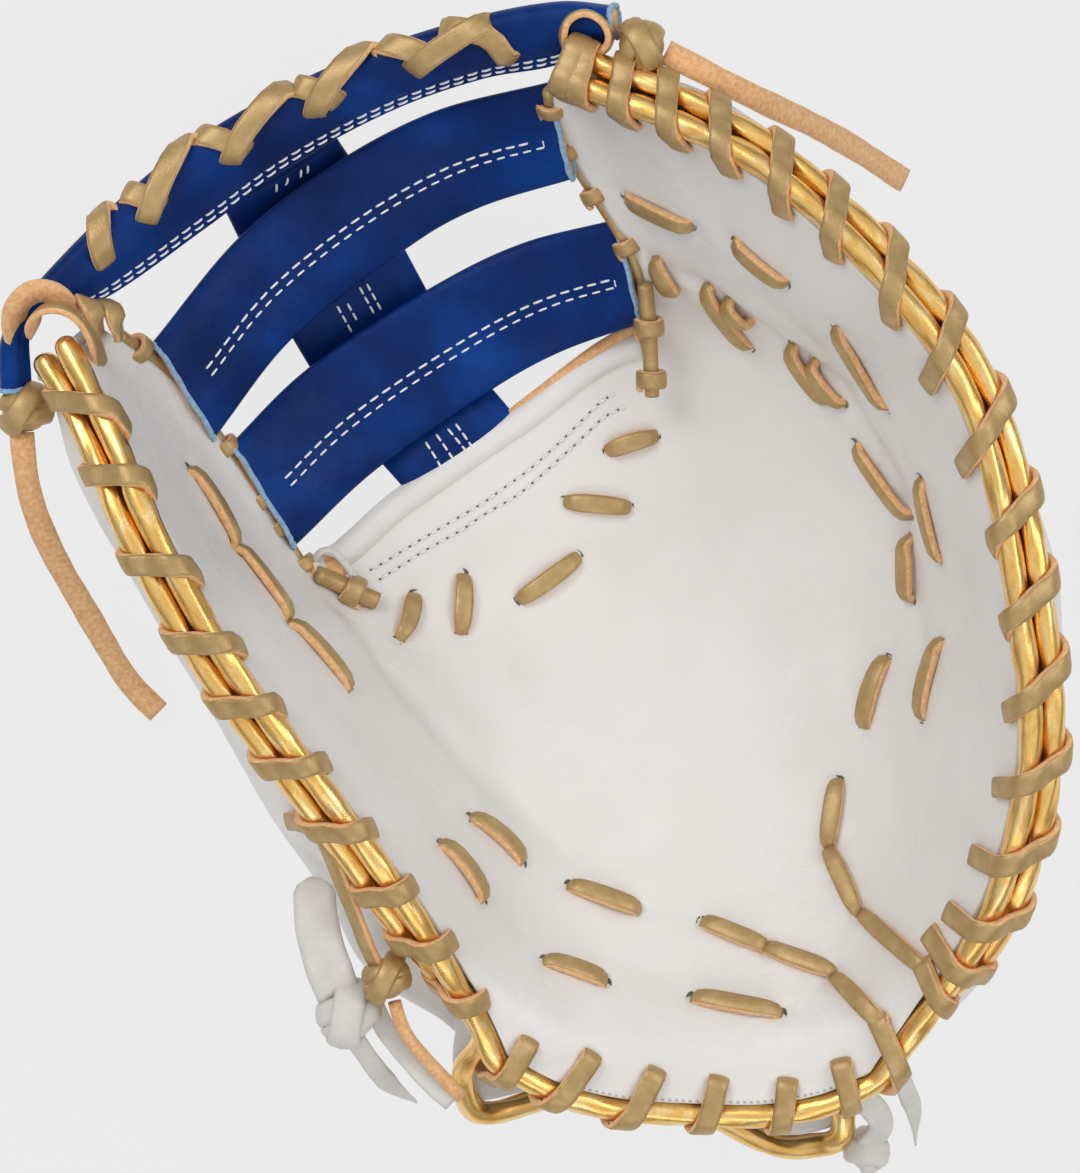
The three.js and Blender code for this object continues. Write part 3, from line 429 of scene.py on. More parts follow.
def facing(surface, station, row):
    """Direction that a surface faces, towards the pocket."""
    s = np.clip(station, SLOPE_STEP, LAST_STATION - SLOPE_STEP)
    r = np.clip(row, SLOPE_STEP, LAST_ROW - SLOPE_STEP)
    across = surface(s + SLOPE_STEP, r) - surface(s - SLOPE_STEP, r)
    up = surface(s, r + SLOPE_STEP) - surface(s, r - SLOPE_STEP)
    return unit(np.cross(across, up))


def palm_layer(station, row, height):
    """Points at a height over the palm's face."""
    return palm_face(station, row) + facing(palm_face, station, row) * height


def room_table():
    """Room shares in fine steps of stations, softened so that the back shows no steps."""
    rim = (RIM_DEPTH - EDGE_DEPTH) / HAND_ROOM
    stops = [0, *ROOM_STATIONS, LAST_STATION]
    fine = np.arange(0, LAST_STATION + ROOM_STEP / 2, ROOM_STEP)
    table = np.array([np.interp(fine, stops, [rim, *row, rim]) for row in ROOM_ROWS])
    for _ in range(5):
        table[:, 1:-1] = (table[:, :-2] + 2 * table[:, 1:-1] + table[:, 2:]) / 4
    return table


ROOM_TABLE = room_table()


def back_depth(station, row):
    """Depth from the palm's face to the back's outside."""
    shares = along(ROOM_TABLE, row)
    place = np.clip(station / ROOM_STEP, 0, ROOM_TABLE.shape[1] - 1.001)
    k = np.floor(place).astype(int)
    f = place - k
    low = np.take_along_axis(shares, k[..., None], -1)[..., 0]
    high = np.take_along_axis(shares, k[..., None] + 1, -1)[..., 0]
    return EDGE_DEPTH + np.maximum(low * (1 - f) + high * f, 0) * HAND_ROOM


def back_face(station, row):
    """Points of the back's outside."""
    station, row = np.broadcast_arrays(np.asarray(station, float), np.asarray(row, float))
    direction = facing(palm_face, station, row)
    leaning = HEEL_LEAN * np.maximum(1 - row / LEAN_ROWS, 0)
    lean = leaning + direction[..., 1] * eased((row - 1) / (LEAN_ROWS + 1))
    from_rim = eased(np.minimum(station, LAST_STATION - station))
    corner = eased(1 - row / FLARE_ROWS) * eased(1 - np.abs(station - FLARE_STATION))
    direction[..., 1] = direction[..., 1] * (1 - from_rim) + lean * from_rim
    direction[..., 0] += THUMB_FLARE * corner
    points = palm_face(station, row) - unit(direction) * back_depth(station, row)[..., None]
    points[..., 2] = np.maximum(points[..., 2], 0)
    tuck = eased(1 - row) * eased(station - TUCK_FROM) * eased((TUCK_TO - station) / TUCK_EASE)
    points[..., 1] += HEEL_TUCK * tuck
    return points


def back_layer(station, row, height):
    """Points at a height over the back's outside, towards the pocket."""
    return back_face(station, row) + facing(back_face, station, row) * height


def pixel(points):
    """Pixels of the view where points in millimetres show."""
    scale = FOCAL_PIXELS / (CAMERA_HEIGHT - points[..., 2])
    x = VIEW_WIDTH / 2 + points[..., 0] * scale
    y = VIEW_HEIGHT / 2 - points[..., 1] * scale
    return np.stack([x, y], -1)


def nearest(shown, spots):
    """Index of the shown pixel nearest to each spot."""
    spots = np.atleast_2d(np.asarray(spots, float))
    return np.array([np.argmin(((shown - spot) ** 2).sum(-1)) for spot in spots])


PALM_STATIONS, PALM_ROWS = (
    grid.ravel()
    for grid in np.meshgrid(np.linspace(0, LAST_STATION, 301), np.linspace(0, LAST_ROW, 451))
)
PALM_SHOWN = pixel(palm_face(PALM_STATIONS, PALM_ROWS))
IN_WEB = (PALM_ROWS > LIP_ROW) & (PALM_STATIONS > WEB_FROM) & (PALM_STATIONS < WEB_TO)
PALM_SHOWN[IN_WEB] = 1e6


def palm_at(spots):
    """Stations and rows of the palm's face that show at the spots."""
    found = nearest(PALM_SHOWN, spots)
    return PALM_STATIONS[found], PALM_ROWS[found]


# Meshes

def tangents(points):
    """Direction of a line at each of its points."""
    return unit(np.gradient(points, axis=0))


def distances(points):
    """Distance along a line to each of its points."""
    return np.r_[0, np.cumsum(np.linalg.norm(np.diff(points, axis=0), axis=1))]


def spread(points, step):
    """Points along a polyline at even distances of about the step."""
    points = np.asarray(points, float)
    lengths = distances(points)
    count = max(int(round(lengths[-1] / step)), 2)
    at = np.linspace(0, lengths[-1], count + 1)
    return np.stack([np.interp(at, lengths, points[:, k]) for k in range(points.shape[1])], -1)


def curve(points, step):
    """Points along a smooth curve at even distances of about the step."""
    fine = along(points, np.linspace(0, len(points) - 1, 24 * len(points)))
    return spread(fine, step)


def add_skin(mesh, rings, slots=None, cap_slot=None, closed=True):
    """Lays a grid over rings of points; a closed one is welded along its seam and capped."""
    rings = np.asarray(rings, float)
    rows, columns = rings.shape[:2]
    if closed:
        rings = np.concatenate([rings, rings[:, :1]], axis=1)
    else:
        columns -= 1
    uv = mesh.loops.layers.uv.verify()
    start = len(mesh.faces)
    made = bmesh.ops.create_grid(mesh, x_segments=columns, y_segments=rows - 1, size=1)["verts"]
    for vert, point in zip(made, rings.reshape(-1, 3)):
        vert.co = point * MM
    # The map is in metres: round the middle ring, and along the line of the rings' middles
    girth = distances(rings[rows // 2]) * MM
    run = distances(rings.mean(axis=1)) * MM
    number = {vert: k for k, vert in enumerate(made)}
    mesh.faces.ensure_lookup_table()
    faces = mesh.faces[start:]
    for k, face in enumerate(faces):
        face.smooth = True
        face.material_index = slots[k % columns] if slots is not None else 0
        for loop in face.loops:
            i, j = divmod(number[loop.vert], columns + 1)
            loop[uv].uv = (girth[j], run[i])
    if closed:
        seam = [made[i * (columns + 1) + j] for i in range(rows) for j in (0, columns)]
        bmesh.ops.remove_doubles(mesh, verts=seam, dist=1e-7)
        edges = {edge for face in faces for edge in face.edges if edge.is_boundary}
        if cap_slot is None:
            cap_slot = faces[columns // 2].material_index
        for cap in bmesh.ops.holes_fill(mesh, edges=list(edges), sides=0)["faces"]:
            cap.material_index = cap_slot


def add_object(name, data):
    made = bpy.data.objects.new(name, data)
    bpy.context.scene.collection.objects.link(made)
    return made


def add_mesh(name, mesh, materials):
    """Makes a mesh an object of the scene."""
    data = bpy.data.meshes.new(name)
    mesh.to_mesh(data)
    mesh.free()
    for material in materials:
        data.materials.append(material)
    return add_object(name, data)


def piece(name, mesh, materials, slot, replaces=()):
    """Finishes a mesh as a piece of the mitt."""
    bmesh.ops.recalc_face_normals(mesh, faces=mesh.faces)
    made = add_mesh(name, mesh, materials)
    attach(made, "root")
    if replaces:
        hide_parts(*replaces)
    return made


# Section of a lace, in shares of its half width and half thickness: grain side up, with the flesh
# side and the cut edges below
LACE_PROFILE = np.array([
    [1.0, -0.1], [0.96, 0.72], [0.62, 1.0], [0, 1.06], [-0.62, 1.0], [-0.96, 0.72],
    [-1.0, -0.1], [-0.97, -0.9], [0, -1.0], [0.97, -0.9],
])
GRAIN, FLESH = 0, 1
LACE_SLOTS = [FLESH, GRAIN, GRAIN, GRAIN, GRAIN, FLESH, FLESH, FLESH, FLESH, FLESH]


def lace_rings(points, outs, width=LACE_WIDTH, thickness=LACE_THICKNESS, seed=0.0, taper=None):
    """Sections of a flat lace along its points, with the way that its grain faces at each."""
    run = tangents(points)
    across = unit(np.cross(run, outs))
    outs = np.cross(across, run)
    count = np.arange(len(points))
    sway = 1 + 0.03 * np.sin(count * 0.37 + seed) + 0.015 * np.sin(count * 1.1 + 2 * seed)
    widths = width / 2 * sway * (1 if taper is None else taper)
    wide = LACE_PROFILE[:, 0][None, :, None] * (across * widths[:, None])[:, None]
    high = LACE_PROFILE[:, 1][None, :, None] * (outs * thickness / 2)[:, None]
    return points[:, None] + wide + high


def across_of(run):
    """Two directions across a line that runs this way, square to each other."""
    side = unit(np.cross(run, [0.1, 0.2, 1.0]))
    return side, np.cross(side, run)


def round_angles(sides):
    """Even angles all the way round."""
    return np.linspace(0, 2 * math.pi, sides, endpoint=False)


def rings_round(points, side, up, angle, radius):
    """Rings of points round a line, at these angles from side to up."""
    return points[:, None] + radius * (
        np.cos(angle)[None, :, None] * side[:, None] + np.sin(angle)[None, :, None] * up[:, None]
    )


# Materials

def hex_colour(text):
    """Linear colour of an sRGB hex value."""
    parts = [int(text[k:k + 2], 16) / 255 for k in (0, 2, 4)]
    return [c / 12.92 if c <= 0.04045 else ((c + 0.055) / 1.055) ** 2.4 for c in parts] + [1]


def add_node(tree, kind, links=None, stops=None, **settings):
    """Adds a node with its settings; each link is a socket's value or another node's output."""
    made = tree.nodes.new(kind)
    for name, value in settings.items():
        setattr(made, name, value)
    for socket, value in (links or {}).items():
        if isinstance(value, bpy.types.NodeSocket):
            tree.links.new(value, made.inputs[socket])
        else:
            made.inputs[socket].default_value = value
    if stops:
        marks = made.color_ramp.elements
        while len(marks) < len(stops):
            marks.new(0.5)
        for mark, (place, shade) in zip(marks, stops):
            mark.position = place
            mark.color = hex_colour(shade)
    return made


def start_material(name):
    """A material with no nodes yet."""
    material = bpy.data.materials.new(name)
    material.use_nodes = True
    material.node_tree.nodes.clear()
    return material, material.node_tree


def add_shader(tree, settings):
    """Adds the shader with its sockets' values and links, and the output."""
    shader = add_node(tree, "ShaderNodeBsdfPrincipled", settings)
    add_node(tree, "ShaderNodeOutputMaterial", {"Surface": shader.outputs["BSDF"]})


def make_hide(name, shades, roughness, pore_depth, wrinkle_depth, gloss=0.5):
    """Full-grain steer hide: a closed smooth skin with fine pores and soft wrinkles."""
    material, tree = start_material(name)
    where = add_node(tree, "ShaderNodeTexCoord").outputs["Object"]
    # The dye varies in patches of about 38 mm
    patches = add_node(tree, "ShaderNodeTexNoise", {
        "Vector": where, "Scale": 1 / (38 * MM), "Detail": 4, "Roughness": 0.55,
    })
    tones = add_node(tree, "ShaderNodeValToRGB", {"Fac": patches.outputs["Fac"]}, stops=shades)
    # Pores are about 0.8 mm apart, drawn at 1.1 mm so that they show
    pores = add_node(tree, "ShaderNodeTexNoise", {
        "Vector": where, "Scale": 1 / (1.1 * MM), "Detail": 2, "Roughness": 0.55,
    })
    wrinkles = add_node(tree, "ShaderNodeTexNoise", {
        "Vector": where, "Scale": 1 / (9 * MM), "Detail": 5, "Roughness": 0.55, "Distortion": 0.6,
    })
    wrinkled = add_node(tree, "ShaderNodeBump", {
        "Height": wrinkles.outputs["Fac"], "Distance": wrinkle_depth * MM, "Strength": 1,
    })
    grained = add_node(tree, "ShaderNodeBump", {
        "Height": pores.outputs["Fac"], "Distance": pore_depth * MM, "Strength": 1,
        "Normal": wrinkled.outputs["Normal"],
    })
    # The hide is a little duller where a wrinkle stands up
    polish = add_node(tree, "ShaderNodeMapRange", {
        "Value": wrinkles.outputs["Fac"], "From Min": 0.3, "From Max": 0.7,
        "To Min": roughness - 0.06, "To Max": roughness + 0.08,
    })
    add_shader(tree, {
        "Base Color": tones.outputs["Color"], "Roughness": polish.outputs["Result"],
        "Normal": grained.outputs["Normal"], "IOR": 1.48, "Specular IOR Level": gloss,
    })
    return material


def make_lace_grain(name, shades, metallic, roughness):
    """Rawhide lace with a rubbed finish: satin, with fine pores across the strip."""
    material, tree = start_material(name)
    where = add_node(tree, "ShaderNodeTexCoord").outputs["UV"]
    # The finish is worn in spots of about 9 mm
    wear = add_node(tree, "ShaderNodeTexNoise", {
        "Vector": where, "Scale": 1 / (9 * MM), "Detail": 5, "Roughness": 0.6,
    })
    tones = add_node(tree, "ShaderNodeValToRGB", {"Fac": wear.outputs["Fac"]}, stops=shades)
    pores = add_node(tree, "ShaderNodeTexNoise", {
        "Vector": where, "Scale": 1 / (0.7 * MM), "Detail": 3, "Roughness": 0.55,
    })
    grained = add_node(tree, "ShaderNodeBump", {
        "Height": pores.outputs["Fac"], "Distance": 0.12 * MM, "Strength": 1,
    })
    polish = add_node(tree, "ShaderNodeMapRange", {
        "Value": wear.outputs["Fac"], "To Min": roughness - 0.1, "To Max": roughness + 0.12,
    })
    add_shader(tree, {
        "Base Color": tones.outputs["Color"], "Roughness": polish.outputs["Result"],
        "Normal": grained.outputs["Normal"], "Metallic": metallic,
    })
    return material


def make_suede(name, shades, fuzz=0.25):
    """Flesh side of cut hide: matt and napped, with short fibres."""
    material, tree = start_material(name)
    where = add_node(tree, "ShaderNodeTexCoord").outputs["Object"]
    # Fibres are finer than this, drawn at 1.4 mm so that they show
    nap = add_node(tree, "ShaderNodeTexNoise", {
        "Vector": where, "Scale": 1 / (1.4 * MM), "Detail": 6, "Roughness": 0.7,
    })
    tones = add_node(tree, "ShaderNodeValToRGB", {"Fac": nap.outputs["Fac"]}, stops=shades)
    napped = add_node(tree, "ShaderNodeBump", {
        "Height": nap.outputs["Fac"], "Distance": fuzz * MM, "Strength": 1,
    })
    add_shader(tree, {
        "Base Color": tones.outputs["Color"], "Roughness": 0.92,
        "Normal": napped.outputs["Normal"], "Sheen Weight": 0.25,
    })
    return material


def make_gold_foil():
    """Foil-coated piping leather: bright metal film that wrinkles sharply where the roll bends."""
    material, tree = start_material("gold_foil_piping")
    where = add_node(tree, "ShaderNodeTexCoord").outputs["UV"]
    stretched = add_node(tree, "ShaderNodeMapping", {"Vector": where, "Scale": (1, 0.3, 1)})
    # Crinkles are about 3 mm apart round the roll, and longer along it
    crinkle = add_node(tree, "ShaderNodeTexNoise", {
        "Vector": stretched.outputs["Vector"], "Scale": 1 / (3.2 * MM), "Detail": 3,
        "Roughness": 0.55, "Distortion": 0.9,
    })
    pebbles = add_node(tree, "ShaderNodeTexNoise", {
        "Vector": where, "Scale": 1 / (0.45 * MM), "Detail": 2, "Roughness": 0.55,
    })
    # The foil's colour follows the crinkles' height: painted highlight on their tops and painted
    # shade in their hollows
    tones = add_node(tree, "ShaderNodeValToRGB", {"Fac": crinkle.outputs["Fac"]}, stops=[
        (0.30, "EBB35A"), (0.50, "F5C672"), (0.70, "FBDC9E"),
    ])
    crinkled = add_node(tree, "ShaderNodeBump", {
        "Height": crinkle.outputs["Fac"], "Distance": 0.15 * MM, "Strength": 1,
    })
    pebbled = add_node(tree, "ShaderNodeBump", {
        "Height": pebbles.outputs["Fac"], "Distance": 0.06 * MM, "Strength": 1,
        "Normal": crinkled.outputs["Normal"],
    })
    add_shader(tree, {
        "Base Color": tones.outputs["Color"], "Normal": pebbled.outputs["Normal"],
        "Metallic": 1, "Roughness": 0.27, "Coat Weight": 0.4, "Coat Roughness": 0.12,
    })
    return material


def make_thread(name, shade):
    """Bonded polyester sewing thread: a satin twist of strands about 0.5 mm apart."""
    material, tree = start_material(name)
    where = add_node(tree, "ShaderNodeTexCoord").outputs["UV"]
    strands = add_node(tree, "ShaderNodeTexNoise", {
        "Vector": where, "Scale": 1 / (0.5 * MM), "Detail": 1, "Roughness": 0.55,
    })
    tones = add_node(tree, "ShaderNodeValToRGB", {"Fac": strands.outputs["Fac"]}, stops=[
        (0.3, shade), (0.7, "FFFFFF"),
    ])
    add_shader(tree, {"Base Color": tones.outputs["Color"], "Roughness": 0.6})
    return material


white_hide = make_hide("white_steerhide", [(0.3, "E0DEDA"), (0.7, "E8E6E3")], 0.42, 0.05, 0.5)
blue_hide = make_hide(
    "blue_steerhide", [(0.3, "001D54"), (0.5, "00296A"), (0.72, "023D8C")], 0.42, 0.07, 0.7,
    gloss=0.14,
)
raw_blue = make_suede("raw_blue_edge", [(0.3, "6E9AC2"), (0.7, "A9C6DC")])
raw_white = make_suede("raw_white_edge", [(0.3, "C9C6C0"), (0.7, "DEDCD7")])
lace_grain = make_lace_grain(
    "rubbed_gold_rawhide", [(0.3, "AA8B59"), (0.5, "BA9B68"), (0.7, "CDB080")], 0.45, 0.4
)
lace_flesh = make_suede("rawhide_flesh", [(0.3, "D69B60"), (0.5, "EAB57E"), (0.7, "F7D0A0")])
gold_foil = make_gold_foil()
white_thread = make_thread("white_thread", "DADCE0")
tan_thread = make_thread("tan_thread", "8F7B60")
white_lace_grain = make_lace_grain("white_rawhide", [(0.3, "CFCCC6"), (0.7, "E2DFDA")], 0.0, 0.6)
fur = make_suede("sheepskin_pile", [(0.3, "6C6762"), (0.7, "A8A39C")], 0.6)
# Painted shade: a dark colour for the punched holes and needle holes, standing in for the shade
# inside them
hole_shade_paint = make_suede("painted_hole_shade", [(0.3, "4A433C"), (0.7, "7A7168")])

# What laces and sewing are finished with: the materials and their slot
TAN_LACE = ([lace_grain, lace_flesh], "tan_lace")
WHITE_LACE = ([white_lace_grain, raw_white], "white_lace")
BLUE_SEWING = ([white_thread], "blue_leather")


# Camera, then the free laces

def make_camera():
    """Looks straight down; its lens gives the view's height its pixels."""
    data = bpy.data.cameras.new("view")
    data.sensor_fit = "AUTO"
    data.sensor_width = SENSOR
    data.lens = FOCAL_PIXELS * SENSOR / VIEW_HEIGHT
    data.clip_start = 0.1
    data.clip_end = 20
    camera = add_object("view", data)
    camera.location = (0, 0, CAMERA_HEIGHT * MM)
    bpy.context.scene.camera = camera


def smoothed(points, times):
    """The points with their small bends eased out, between two fixed ends."""
    points = points.copy()
    for _ in range(times):
        points[1:-1] = (points[:-2] + 2 * points[1:-1] + points[2:]) / 4
    return points


def make_tail(name, route, width, finish, flip=False, pointed=False, rounded=False):
    """A lace or strap along its route, lying as flat as it can."""
    points = smoothed(curve(route, TAIL_STEP), TAIL_EASE)
    run = tangents(points)
    across = unit(np.cross(run, [0, 0, 1]))
    outs = np.cross(across, run)
    if flip:
        outs = -outs
    taper = None
    if pointed:
        left = np.linspace(1, 0, len(points))
        taper = np.clip(left / 0.6, 0.12, 1)
    if rounded:
        grown = np.clip(np.linspace(0.03, 6, len(points)), 0, 1)
        taper = np.sqrt(1 - (1 - grown) ** 2)
    mesh = bmesh.new()
    add_skin(mesh, lace_rings(points, outs, width, seed=len(name), taper=taper), LACE_SLOTS)
    made = piece(name + "_strip", mesh, *finish, [name])


make_camera()
for name, route, width in (
    ("top_tail", TOP_TAIL, TAIL_WIDTH), ("side_tail", SIDE_TAIL, TAIL_WIDTH),
    ("heel_tail", HEEL_TAIL, HEEL_TAIL_WIDTH),
):
    make_tail(name, route, width, TAN_LACE, flip=True)
for name, route in (("wrist_tail", WRIST_TAIL), ("wrist_end", WRIST_END)):
    make_tail(name, route, WRIST_LACE_WIDTH, WHITE_LACE, pointed=True)
make_tail("wrist_band", WRIST_BAND, WRIST_BAND_WIDTH, WHITE_LACE, rounded=True)
make_tail("lip_strap", LIP_STRAP, STRAP_WIDTH, TAN_LACE, flip=True)


def make_knot(name, finish, centre, half, axis, width):
    """A knot of flat lace: two turns that hug a ball, and a third across them."""
    centre, half, axis = np.array(centre, float), np.array(half, float), unit(np.array(axis, float))
    side, up = across_of(axis)
    size = half.mean()
    mesh = bmesh.new()
    # Each turn overlaps its own start, which hides the ends of the lace
    t = np.linspace(-0.25, 2 * math.pi + 0.25, 40)[:, None]
    slant = unit(side * 0.75 + axis)
    # Each turn's two directions, the way that it lies aside, how far aside, and its height
    turns = [
        (side, up, axis, -0.4, 0.9), (side, up, axis, 0.44, 0.92),
        (slant, up, np.cross(slant, up), 0.05, 1.04),
    ]
    for first, second, aside, shift, level in turns:
        around = np.cos(t) * first + np.sin(t) * second
        lean = shift + 0.12 * np.sin(t + 4 * shift)
        rings = []
        for wide, high in LACE_PROFILE:
            toward = unit(around + aside * (lean + wide * width / 2 / size))
            rings.append(centre + toward * half * (level + high * LACE_THICKNESS * 0.45 / size))
        add_skin(mesh, np.stack(rings, 1), LACE_SLOTS)
    core = bmesh.ops.create_icosphere(mesh, subdivisions=3, radius=1)["verts"]
    for vert in core:
        vert.co = (centre + np.array(vert.co) * half * KNOT_CORE) * MM
    for face in {face for vert in core for face in vert.link_faces}:
        face.smooth = True
    piece(name + "_turns", mesh, *finish, [name])


for finish, knots in ((TAN_LACE, TAN_KNOTS), (WHITE_LACE, WHITE_KNOTS)):
    for name, knot in knots.items():
        make_knot(name, finish, *knot)


def spot_at(marks):
    """Points in millimetres for marks that give a pixel of the view and a height."""
    marks = np.asarray(marks, float)
    scale = (CAMERA_HEIGHT - marks[:, 2]) / FOCAL_PIXELS
    x = (marks[:, 0] - VIEW_WIDTH / 2) * scale
    y = (VIEW_HEIGHT / 2 - marks[:, 1]) * scale
    return np.stack([x, y, marks[:, 2]], -1)


def add_strand(mesh, marks, width, faces=(0, 0, 1), middle=None):
    """A strand of lace through marks of the view, its grain one way or away from a middle."""
    points = curve(spot_at(marks), 1.5)
    outs = np.tile(np.array(faces, float), (len(points), 1))
    if middle is not None:
        outs = unit((points - spot_at([middle])) * (1, 1, 0)) + outs
    add_skin(mesh, lace_rings(points, unit(outs), width), LACE_SLOTS)


def add_cordlike(mesh, points, radius, sides=12):
    """A lace rolled up along its length."""
    angle = round_angles(sides)
    twist = np.arange(len(points)) * 0.12
    lobes = 1 + 0.08 * np.sin(2 * angle[None] + twist[:, None])
    side, up = across_of(tangents(points))
    add_skin(mesh, rings_round(points, side, up, angle, radius * lobes[..., None]))


def add_wrap_round(mesh, centre, run, radius, width, seed=0.0):
    """One turn of lace round a strand."""
    run = unit(np.asarray(run, float))
    side, up = across_of(run)
    t = np.linspace(0, 2 * math.pi * 1.04, 26)[:, None]
    around = np.cos(t) * side + np.sin(t) * up
    points = centre + around * radius + run * (t - math.pi) * 0.25
    add_skin(mesh, lace_rings(points, around, width, 1.9, seed), LACE_SLOTS)


# Palm and back leather

def stitch_ends():
    """Pixels where laces go into the palm."""
    wraps = [wrap[1] for wrap in THUMB_WRAPS + HEEL_WRAPS + FINGER_WRAPS]
    stitches = THUMB_STITCHES + FINGER_STITCHES + PALM_STITCHES
    return wraps + [end for stitch in stitches for end in stitch]


def palm_relief(points):
    """Height of the palm's folds and of the dimples at its punched holes."""
    height = np.zeros(points.shape[:-1])
    for depth, half_width, line in FOLDS:
        stations, rows = palm_at(spread(line, 12))
        for spot in palm_face(stations, rows):
            distance = np.linalg.norm(points - spot, axis=-1)
            height = np.minimum(height, -depth * np.exp(-(distance / half_width) ** 2))
    stations, rows = palm_at(stitch_ends())
    for spot in palm_face(stations, rows):
        distance = np.linalg.norm(points - spot, axis=-1)
        height = height - DIMPLE_DEPTH * np.exp(-(distance / DIMPLE_RADIUS) ** 2)
    return height


def shell_grid(columns, lines):
    """Stations and rows over the whole leather."""
    stations = np.linspace(0, LAST_STATION, columns + 1)
    return np.meshgrid(stations, np.linspace(0, LAST_ROW, lines + 1))


def make_shell(name, points, stations, rows, thickness, replaces):
    """A leather wall over the points, cut out where the web is."""
    mesh = bmesh.new()
    add_skin(mesh, points, closed=False)
    middle_s = (stations[:-1, :-1] + stations[1:, 1:]) / 2
    middle_r = (rows[:-1, :-1] + rows[1:, 1:]) / 2
    cut = (middle_r > LIP_ROW) & (middle_s > WEB_FROM) & (middle_s < WEB_TO)
    cut |= middle_r > LAST_ROW - TIP_TRIM
    mesh.faces.ensure_lookup_table()
    waste = [mesh.faces[k] for k in np.flatnonzero(cut.ravel())]
    bmesh.ops.delete(mesh, geom=waste, context="FACES")
    made = piece(name, mesh, [white_hide, raw_white], "white_leather", [replaces])
    wall = made.modifiers.new("wall", "SOLIDIFY")
    wall.thickness = thickness * MM
    wall.offset = -1
    wall.material_offset_rim = 1


def make_palm():
    """The palm's leather, with its folds and dimples."""
    stations, rows = shell_grid(PALM_COLUMNS, PALM_LINES)
    face = palm_face(stations, rows)
    points = face + facing(palm_face, stations, rows) * palm_relief(face)[..., None]
    make_shell("palm_leather", points, stations, rows, PALM_WALL, "palm_shell")


def make_back():
    """The back's leather, with its grid turned round so that its grain side is outside."""
    stations, rows = shell_grid(BACK_COLUMNS, BACK_LINES)
    points = back_face(stations, rows)[:, ::-1]
    make_shell("back_leather", points, stations[:, ::-1], rows, BACK_WALL, "back_shell")


make_palm()
make_back()


# Rims

# Places along the rim as stations and rows: down the thumb side, along the heel, up the finger side
RIM_ROWS = np.r_[np.arange(0.5, LAST_ROW, 0.5), LAST_ROW - 0.15]
RIM_STATIONS = np.array([0, 0.5, 1, 1.5, 2, 3, 4, 4.5, 5, 5.5, 6])
RIM_S = np.r_[np.zeros(len(RIM_ROWS)), RIM_STATIONS, np.full(len(RIM_ROWS), float(LAST_STATION))]
RIM_R = np.r_[RIM_ROWS[::-1], np.zeros(len(RIM_STATIONS)), RIM_ROWS]


def rim_centres(layer, height):
    """Centres of a roll that lies along the edge of a layer."""
    edges = layer(RIM_S, RIM_R, height)
    before = np.r_[edges[:1], edges[:-1]]
    after = np.r_[edges[1:], edges[-1:]]
    run = unit(after - before)
    out = np.cross(run, facing(palm_face, RIM_S, RIM_R))
    heel = (RIM_R == 0) & (RIM_S > 0) & (RIM_S < LAST_STATION)
    down = edges - layer(RIM_S, np.full_like(RIM_R, 0.5), height)
    down -= (down * run).sum(-1, keepdims=True) * run
    out = np.where(heel[:, None], down, out)
    return edges + unit(out) * (ROLL_RADIUS + ROLL_GAP)


PALM_RIM = rim_centres(palm_layer, -PALM_WALL / 2)
BACK_RIM = rim_centres(back_layer, BACK_WALL / 2)
RIM_END = len(PALM_RIM) - 1


def rim_frame(w, both):
    """Centre, direction to the back, direction outward and half distance of the rolls."""
    palm, back = along(PALM_RIM, w), along(BACK_RIM, w)
    ahead = along(PALM_RIM, np.minimum(w + 0.5, RIM_END))
    run = unit(ahead - along(PALM_RIM, np.maximum(w - 0.5, 0)))
    apart = back - palm
    apart = apart - (apart * run).sum(-1, keepdims=True) * run
    half = np.linalg.norm(apart, axis=-1) / 2 * (1 if both else 0)
    to_back = unit(apart)
    out = unit(np.cross(to_back, run))
    return palm + to_back * half[..., None], to_back, out, half


def make_roll(centres, wraps, seed):
    """A foil-covered roll that swells between the wraps of its lace and wrinkles along it."""
    fine = along(centres, np.linspace(-TIP_REACH, RIM_END + TIP_REACH, 1400))
    points = spread(fine, ROLL_STEP)
    run = tangents(points)
    up = unit(np.cross(run, np.cross(run, [0.2, 0.1, 1.0])))
    side = np.cross(run, up)
    angle = round_angles(ROLL_SIDES)
    length = np.arange(len(points)) * ROLL_STEP
    rng = np.random.default_rng(seed)
    relief = np.zeros((len(points), ROLL_SIDES))
    # Many small waves of 14 to 50 mm, which run slantwise round the roll
    for _ in range(30):
        pitch = rng.uniform(14, 50)
        turn = rng.integers(2, 7)
        phase = rng.uniform(0, 2 * math.pi)
        wave = np.sin(length[:, None] / pitch * 2 * math.pi + turn * angle[None] + phase)
        relief += wave * 0.03
    squeeze = np.zeros(len(points))
    for wrap in wraps:
        squeeze = np.maximum(squeeze, np.exp(-(np.linalg.norm(points - wrap, axis=1) / 4.2) ** 2))
    radius = ROLL_RADIUS * (1.04 - 0.13 * squeeze)[:, None] + relief - 0.1
    # The tips are rounded
    to_tip = np.minimum(length, length[-1] - length) / ROLL_RADIUS
    radius *= np.sqrt(np.clip(1 - (1 - np.minimum(to_tip, 1)) ** 2, 0.02, 1))[:, None]
    mesh = bmesh.new()
    add_skin(mesh, rings_round(points, side, up, angle, radius[..., None]))
    return mesh


WRAP_SEARCH = np.linspace(0, RIM_END + TIP_REACH, 4001)


